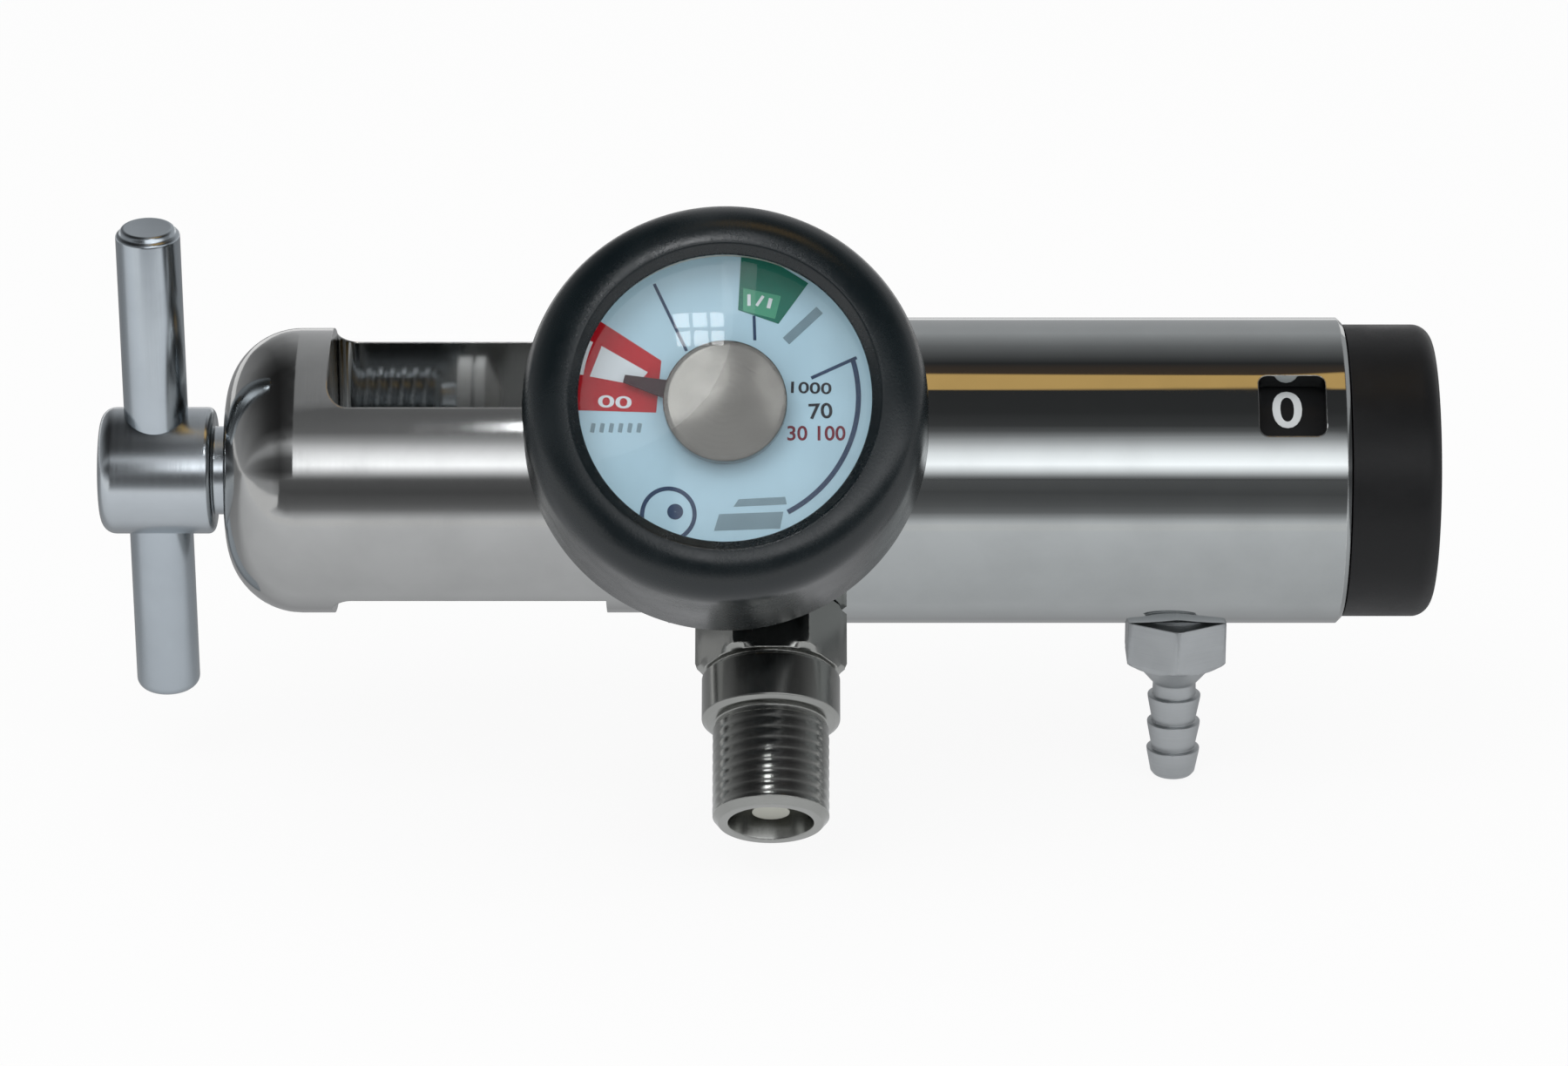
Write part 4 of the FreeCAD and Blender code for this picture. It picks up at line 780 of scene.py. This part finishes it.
def make_dial_print():
    """A generic pressure scale: a red and a green area, lines, marks and plain numbers."""
    rim = 18.9
    angles = [math.radians(degrees) for degrees in range(148, 186, 3)]
    rim_arc = [(rim * math.cos(angle), rim * math.sin(angle)) for angle in angles]
    printed("dial_red_area", "red", [field((-7.6, 4.4), *rim_arc, (-17.6, -1.6), (-8.2, -1.9))])
    printed("dial_white_area", "white", [
        field((-16.1, 2.5), (-14.7, 6.2), (-9.2, 3.0), (-10.5, 1.4)),
        band((0, 0), 17.4, 0.8, 157, 171),
        written("00", (-13.1, -0.6), (4.0, 1.5), -3),
    ], layer=1)
    printed("dial_green_block", "green", [
        field((1.5, 10.6), (6.3, 8.9), (9.8, 13.8), (6.0, 16.6), (1.9, 17.6)),
    ])
    printed("dial_green_label", "light_green", [
        field((2.1, 10.5), (5.9, 9.5), (6.6, 12.3), (2.1, 13.3)),
    ], layer=1)
    printed("dial_green_marks", "white", [
        line((2.8, 11.1), (2.8, 12.5), 0.4),
        line((3.7, 11.1), (4.5, 12.3), 0.35),
        line((5.1, 10.8), (5.4, 12.0), 0.45),
    ], layer=2)
    printed("dial_navy_lines", "navy", [
        band((0, 0), 15.8, 0.6, -62, 17),
        line((10.2, 2.3), (15.6, 4.8), 0.4),
        line((-8.5, 13.8), (-4.6, 5.6), 0.36),
        line((3.4, 9.9), (3.5, 6.9), 0.36),
    ])
    printed("dial_grey_marks", "grey", [
        line((7.2, 6.8), (11.2, 10.6), 1.1),
        field((1.0, -13.3), (7.3, -13.0), (7.1, -12.1), (1.6, -12.4)),
        field((-1.3, -16.2), (6.5, -15.9), (6.9, -13.9), (-0.7, -14.2)),
        *[line((-15.8 + 1.1 * k, -4.3), (-15.6 + 1.1 * k, -3.2), 0.5) for k in range(6)],
    ])
    printed("dial_ring_mark", "navy", [
        band((-6.7, -14.2), 3.1, 0.5, 0, 360),
        band((-5.9, -13.9), 0.5, 0.9, 0, 360, 20),
    ])
    printed("dial_black_numbers", "black", [
        written("1000", (10.2, 1.1), (4.8, 1.4), -2),
        written("70", (11.3, -1.7), (2.8, 1.9), 3),
    ])
    printed("dial_red_numbers", "dark_red", [written("30 100", (10.8, -4.4), (6.9, 1.8))])


def number_size(text):
    """The width and height of a flow number: narrower for one digit, and tallest for the 0."""
    width = NUMBER_WIDTH
    if text == "1":
        width *= 0.4
    elif len(text) == 1:
        width *= 0.85
    return width, NUMBER_HEIGHT if text == "0" else NUMBER_HEIGHT * 0.85


def ring_number(text, turn):
    """A mesh of one flow number, cut in slices and wrapped round the number ring at this angle."""
    radius = RING_RADIUS + 0.01
    wide, high = number_size(text)
    points, faces = letters(text)
    work = bmesh.new()
    verts = [work.verts.new((x * wide, y * high, 0)) for x, y in points]
    for face in faces:
        work.faces.new([verts[index] for index in face])
    for cut in range(1, NUMBER_SLICES):
        geometry = work.verts[:] + work.edges[:] + work.faces[:]
        place = (0, (cut / NUMBER_SLICES - 0.5) * NUMBER_HEIGHT, 0)
        bmesh.ops.bisect_plane(work, geom=geometry, plane_co=place, plane_no=(0, 1, 0))
    for vertex in work.verts:
        angle = turn + vertex.co.y / RING_RADIUS
        station = NUMBER_STATION + vertex.co.x
        vertex.co = Vector((station, -radius * math.cos(angle), radius * math.sin(angle))) * MM
    mesh = bpy.data.meshes.new("number")
    work.to_mesh(mesh)
    work.free()
    return mesh


def make_numbers():
    """The flow numbers, wrapped round the number ring under the window."""
    work = bmesh.new()
    for step, text in enumerate(FLOW_NUMBERS):
        mesh = ring_number(text, math.radians(NUMBER_TILT + NUMBER_STEP * step))
        work.from_mesh(mesh)
        bpy.data.meshes.remove(mesh)
    face_outwards(work, lambda middle: Vector((0.0, middle.y, middle.z)))
    piece = new_piece("flow_numbers", work, FINISHES["white"])
    thicken(piece, NUMBER_THICKNESS)
    stand_for(piece, "selector", "black_plastic")


# Stage, light and camera

# What the metal mirrors is a half pipe of light along the barrel, with rounded ends.
STUDIO_RADIUS = 900.0
STUDIO_HALF_LENGTH = 700.0
SKY_ELEVATIONS = range(-1, 178)
SKY_END_STEPS = 12
POLE_LIGHT = 0.5
GOLD = (0.98, 0.62, 0.22)

# Skies: elevation in degrees from the front, and light.
BARREL_SKY = (
    (8, 0.1), (13, 0.14), (15, 0.4), (19, 1.3), (24, 2.3), (32, 1.7), (43, 0.55), (49, 0.17),
    (54, 0.086), (64, 0.055), (82.5, 0.05), (83.5, GOLD), (97.5, GOLD), (99, (0.1, 0.07, 0.05)),
    (107, 0.045), (126, 0.25), (145, 0.55), (172, 0.5), (177, 0.5),
)
YOKE_SKY = (
    (8, 0.16), (13, 0.2), (15, 0.45), (19, 1.3), (24, 2.5), (32, 1.8), (43, 0.6), (50, 0.23),
    (66, 0.2), (76, 0.4), (110, 0.42), (145, 0.55), (172, 0.6), (177, 0.6),
)
TEE_SKY = (
    (-1, 0.95), (6, 0.8), (13, 0.3), (20, 0.12), (30, 0.2), (36, 0.7), (41, 0.8), (47, 0.25), (56, 0.07),
    (112, 0.06), (130, 0.2), (150, 0.45), (177, 0.6),
)
SIDE_SKY = (
    (8, 0.1), (13, 0.14), (15, 0.4), (19, 1.3), (24, 2.3), (32, 1.7), (43, 0.55), (49, 0.17),
    (54, 0.086), (64, 0.055), (107, 0.045), (126, 0.25), (145, 0.55), (172, 0.5), (177, 0.5),
)
# Stations along the barrel with the sky over them and its share of light.
SKY_STATIONS = (
    (-700, TEE_SKY, 0.6), (-420, TEE_SKY, 0.4), (-240, TEE_SKY, 0.7), (-134, TEE_SKY, 1.0),
    (-113, YOKE_SKY, 1.0), (-1, YOKE_SKY, 1.0), (0, BARREL_SKY, 1.0), (300, BARREL_SKY, 1.0),
    (420, SIDE_SKY, 1.0), (700, SIDE_SKY, 1.0),
)
# Cards near the floor: their y, z and light, and the ends that they reach along the barrel. The under card
# is painted shade: a sheet that only reflections see, darker under and behind the part, standing in for its
# shadow on the floor.
CARD_START = -140.0
CARD_REACH = 1500.0
FRONT_CARD = (
    (-125, -40.6, 0.95), (-165, -40.6, 0.55), (-205, -38.0, 0.26), (-222, -22.0, 0.18),
    (-226, 10.0, 0.12), (-226, 50.0, 0.16),
)
PAINTED_FLOOR_SHADOW_CARD = (
    (-100, -40.9, 0.95), (-70, -40.9, 0.9), (-30, -40.9, 0.8), (-8, -40.9, 0.72), (0, -40.9, 0.6),
    (12, -40.9, 0.42), (40, -40.9, 0.35), (90, -40.9, 0.3), (400, -40.9, 0.3),
)
# A small window over the gauge, seen in its lens and cap, and a strip seen in the outlet.
WINDOW_HEIGHT = 175.0
WINDOW_LIGHT = 16.0
WINDOW_PANES = ((-17, -8), (-6, 3), (5, 13))
WINDOW_ROWS = ((-142, -130), (-127, -116))
STRIP_HEIGHT = 170.0
STRIP_LIGHT = 2.2
STRIP_SPAN = ((12, 30), (-74, -114))

# The floor, in metres, and the light that its surface and the world show or give.
FLOOR_REACH = 6.0
FLOOR_GAP = 0.0003
FLOOR_TONE = 0.92
FLOOR_ROUGHNESS = 0.9
FLOOR_SHOWN = 0.9
WORLD_LIGHT = 0.7
WORLD_SHOWN = 1.0
WHITE = (1.0, 1.0, 1.0)

# Lamps, in metres and watts: name, place, size and power. They point at the part's origin.
LAMPS = (
    ("key_lamp", (-0.35, -0.6, 0.9), 0.8, 3.0),
    ("fill_lamp", (0.6, -0.5, 0.7), 0.9, 1.5),
)

# The camera's place and target, in metres, and its lens and sensor, in millimetres.
CAMERA_PLACE = (0.022, -0.7521, 0.2728)
CAMERA_TARGET = (0.022, -0.00274, -0.00733)
CAMERA_CLIP = 0.05
CAMERA_LENS = 147.2
CAMERA_SENSOR = 36.0


def colour_of(light):
    """The colour of a light that is given as a colour or as one number, which is slightly cool."""
    return tuple(light) if hasattr(light, "__len__") else (light, light * 1.01, light * 1.03)


def between(first, second, part):
    return [a + (b - a) * part for a, b in zip(colour_of(first), colour_of(second))]


def glow_sheet(name, grid):
    """A sheet that only reflections see, from rows of points and their light."""
    work = bmesh.new()
    shade = work.verts.layers.float_color.new("glow")
    rows = []
    for row in grid:
        verts = []
        for point, light in row:
            vertex = work.verts.new(Vector(point) * MM)
            vertex[shade] = (*colour_of(light), 1.0)
            verts.append(vertex)
        rows.append(verts)
    for first, second in zip(rows, rows[1:]):
        for index in range(len(first) - 1):
            work.faces.new((first[index], first[index + 1], second[index + 1], second[index]))
    finish = Finish(name)
    light = finish.add("ShaderNodeAttribute", attribute_name="glow").outputs["Color"]
    finish.show(finish.add("ShaderNodeEmission", {"Color": light}))
    sheet = new_piece(name, work, finish.material)
    sheet.visible_camera = False
    sheet.visible_diffuse = False
    sheet.visible_transmission = False
    sheet.visible_shadow = False


def light_at(sky, elevation):
    for (low, first), (high, second) in zip(sky, sky[1:]):
        if elevation <= high:
            return between(first, second, max(0.0, (elevation - low) / (high - low)))
    return colour_of(sky[-1][1])


def sky_columns():
    """Each station with its radius, sky, share of light and share of pole light, ends rounded."""
    columns = [(x, 1.0, sky, share, 0.0) for x, sky, share in SKY_STATIONS]
    for step in range(1, SKY_END_STEPS + 1):
        angle = math.pi / 2 * step / SKY_END_STEPS
        reach = STUDIO_HALF_LENGTH + STUDIO_RADIUS * math.sin(angle)
        radius = max(math.cos(angle), 0.01)
        pole = (step / SKY_END_STEPS) ** 1.5
        columns.insert(0, (-reach, radius, *SKY_STATIONS[0][1:], pole))
        columns.append((reach, radius, *SKY_STATIONS[-1][1:], pole))
    return columns


def make_sky():
    columns = sky_columns()
    grid = []
    for elevation in SKY_ELEVATIONS:
        turn = math.radians(elevation)
        row = []
        for x, radius, sky, share, pole in columns:
            reach = STUDIO_RADIUS * radius
            point = (x, -reach * math.cos(turn), reach * math.sin(turn))
            light = [part * share for part in light_at(sky, elevation)]
            row.append((point, between(light, POLE_LIGHT, pole)))
        grid.append(row)
    glow_sheet("studio_sky", grid)


def make_cards():
    # The under card is painted shade: the part's shadow on the floor, as the metal mirrors it.
    cards = (("front_card", CARD_START, FRONT_CARD), ("painted_floor_shadow_card", -CARD_REACH, PAINTED_FLOOR_SHADOW_CARD))
    for name, start, card in cards:
        glow_sheet(name, [[((x, y, z), light) for x in (start, CARD_REACH)] for y, z, light in card])


def flat_light(name, height, light, span):
    """A level sheet of one light over a span of x and a span of y."""
    glow_sheet(name, [[((x, y, height), light) for x in span[0]] for y in span[1]])


def make_windows():
    for column, panes in enumerate(WINDOW_PANES):
        for row, rows in enumerate(WINDOW_ROWS):
            flat_light(f"window_pane_{column}_{row}", WINDOW_HEIGHT, WINDOW_LIGHT, (panes, rows))
    flat_light("strip_light", STRIP_HEIGHT, STRIP_LIGHT, STRIP_SPAN)


def make_floor():
    """A pale floor just under the part, which shows white and takes its shadow."""
    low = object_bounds()[0].z
    corners = [(-1, -1), (1, -1), (1, 1), (-1, 1)]
    mesh = bpy.data.meshes.new("floor")
    mesh.from_pydata([(x * FLOOR_REACH, y * FLOOR_REACH, 0) for x, y in corners], [], [(0, 1, 2, 3)])
    finish = Finish("white_floor", Base_Color=(FLOOR_TONE, FLOOR_TONE, FLOOR_TONE),
                    Roughness=FLOOR_ROUGHNESS, Specular_IOR_Level=0.0)
    glow = finish.add("ShaderNodeEmission", {"Color": WHITE})
    finish.show(glow, finish.sum(finish.showing_rays(), FLOOR_SHOWN, "MULTIPLY"))
    mesh.materials.append(finish.material)
    floor = bpy.data.objects.new("floor", mesh)
    bpy.context.scene.collection.objects.link(floor)
    floor.location.z = low - FLOOR_GAP


def make_world():
    """A white world, which lights the object less than it shows."""
    world = bpy.data.worlds.new("studio")
    bpy.context.scene.world = world
    world.use_nodes = True
    tree = NodeTree(world.node_tree)
    background = tree.nodes["Background"]
    strength = tree.spread(tree.showing_rays(), 0.0, 1.0, WORLD_LIGHT, WORLD_SHOWN)
    tree.join(strength, background.inputs["Strength"])
    tree.join(WHITE, background.inputs["Color"])


def make_lamp(name, place, size, power):
    data = bpy.data.lights.new(name, "AREA")
    data.shape = "DISK"
    data.size = size
    data.energy = power
    lamp = bpy.data.objects.new(name, data)
    bpy.context.scene.collection.objects.link(lamp)
    lamp.location = place
    lamp.rotation_euler = (-Vector(place)).to_track_quat("-Z", "Y").to_euler()
    lamp.visible_glossy = False


def make_camera():
    data = bpy.data.cameras.new("camera")
    data.lens = CAMERA_LENS
    data.sensor_width = CAMERA_SENSOR
    data.clip_start = CAMERA_CLIP
    camera = bpy.data.objects.new("camera", data)
    bpy.context.scene.collection.objects.link(camera)
    camera.location = CAMERA_PLACE
    camera.rotation_euler = (Vector(CAMERA_TARGET) - camera.location).to_track_quat("-Z", "Y").to_euler()
    bpy.context.scene.camera = camera


def make_stage():
    make_floor()
    make_world()
    make_sky()
    make_cards()
    make_windows()
    for lamp in LAMPS:
        make_lamp(*lamp)
    make_camera()
    bpy.context.scene.view_settings.view_transform = "Standard"


finish_frame()
make_boot()
make_lens()
make_cap()
make_outlet()
make_barb()
make_tee_bar()
make_tee_screw()
make_dial_print()
make_numbers()
make_stage()
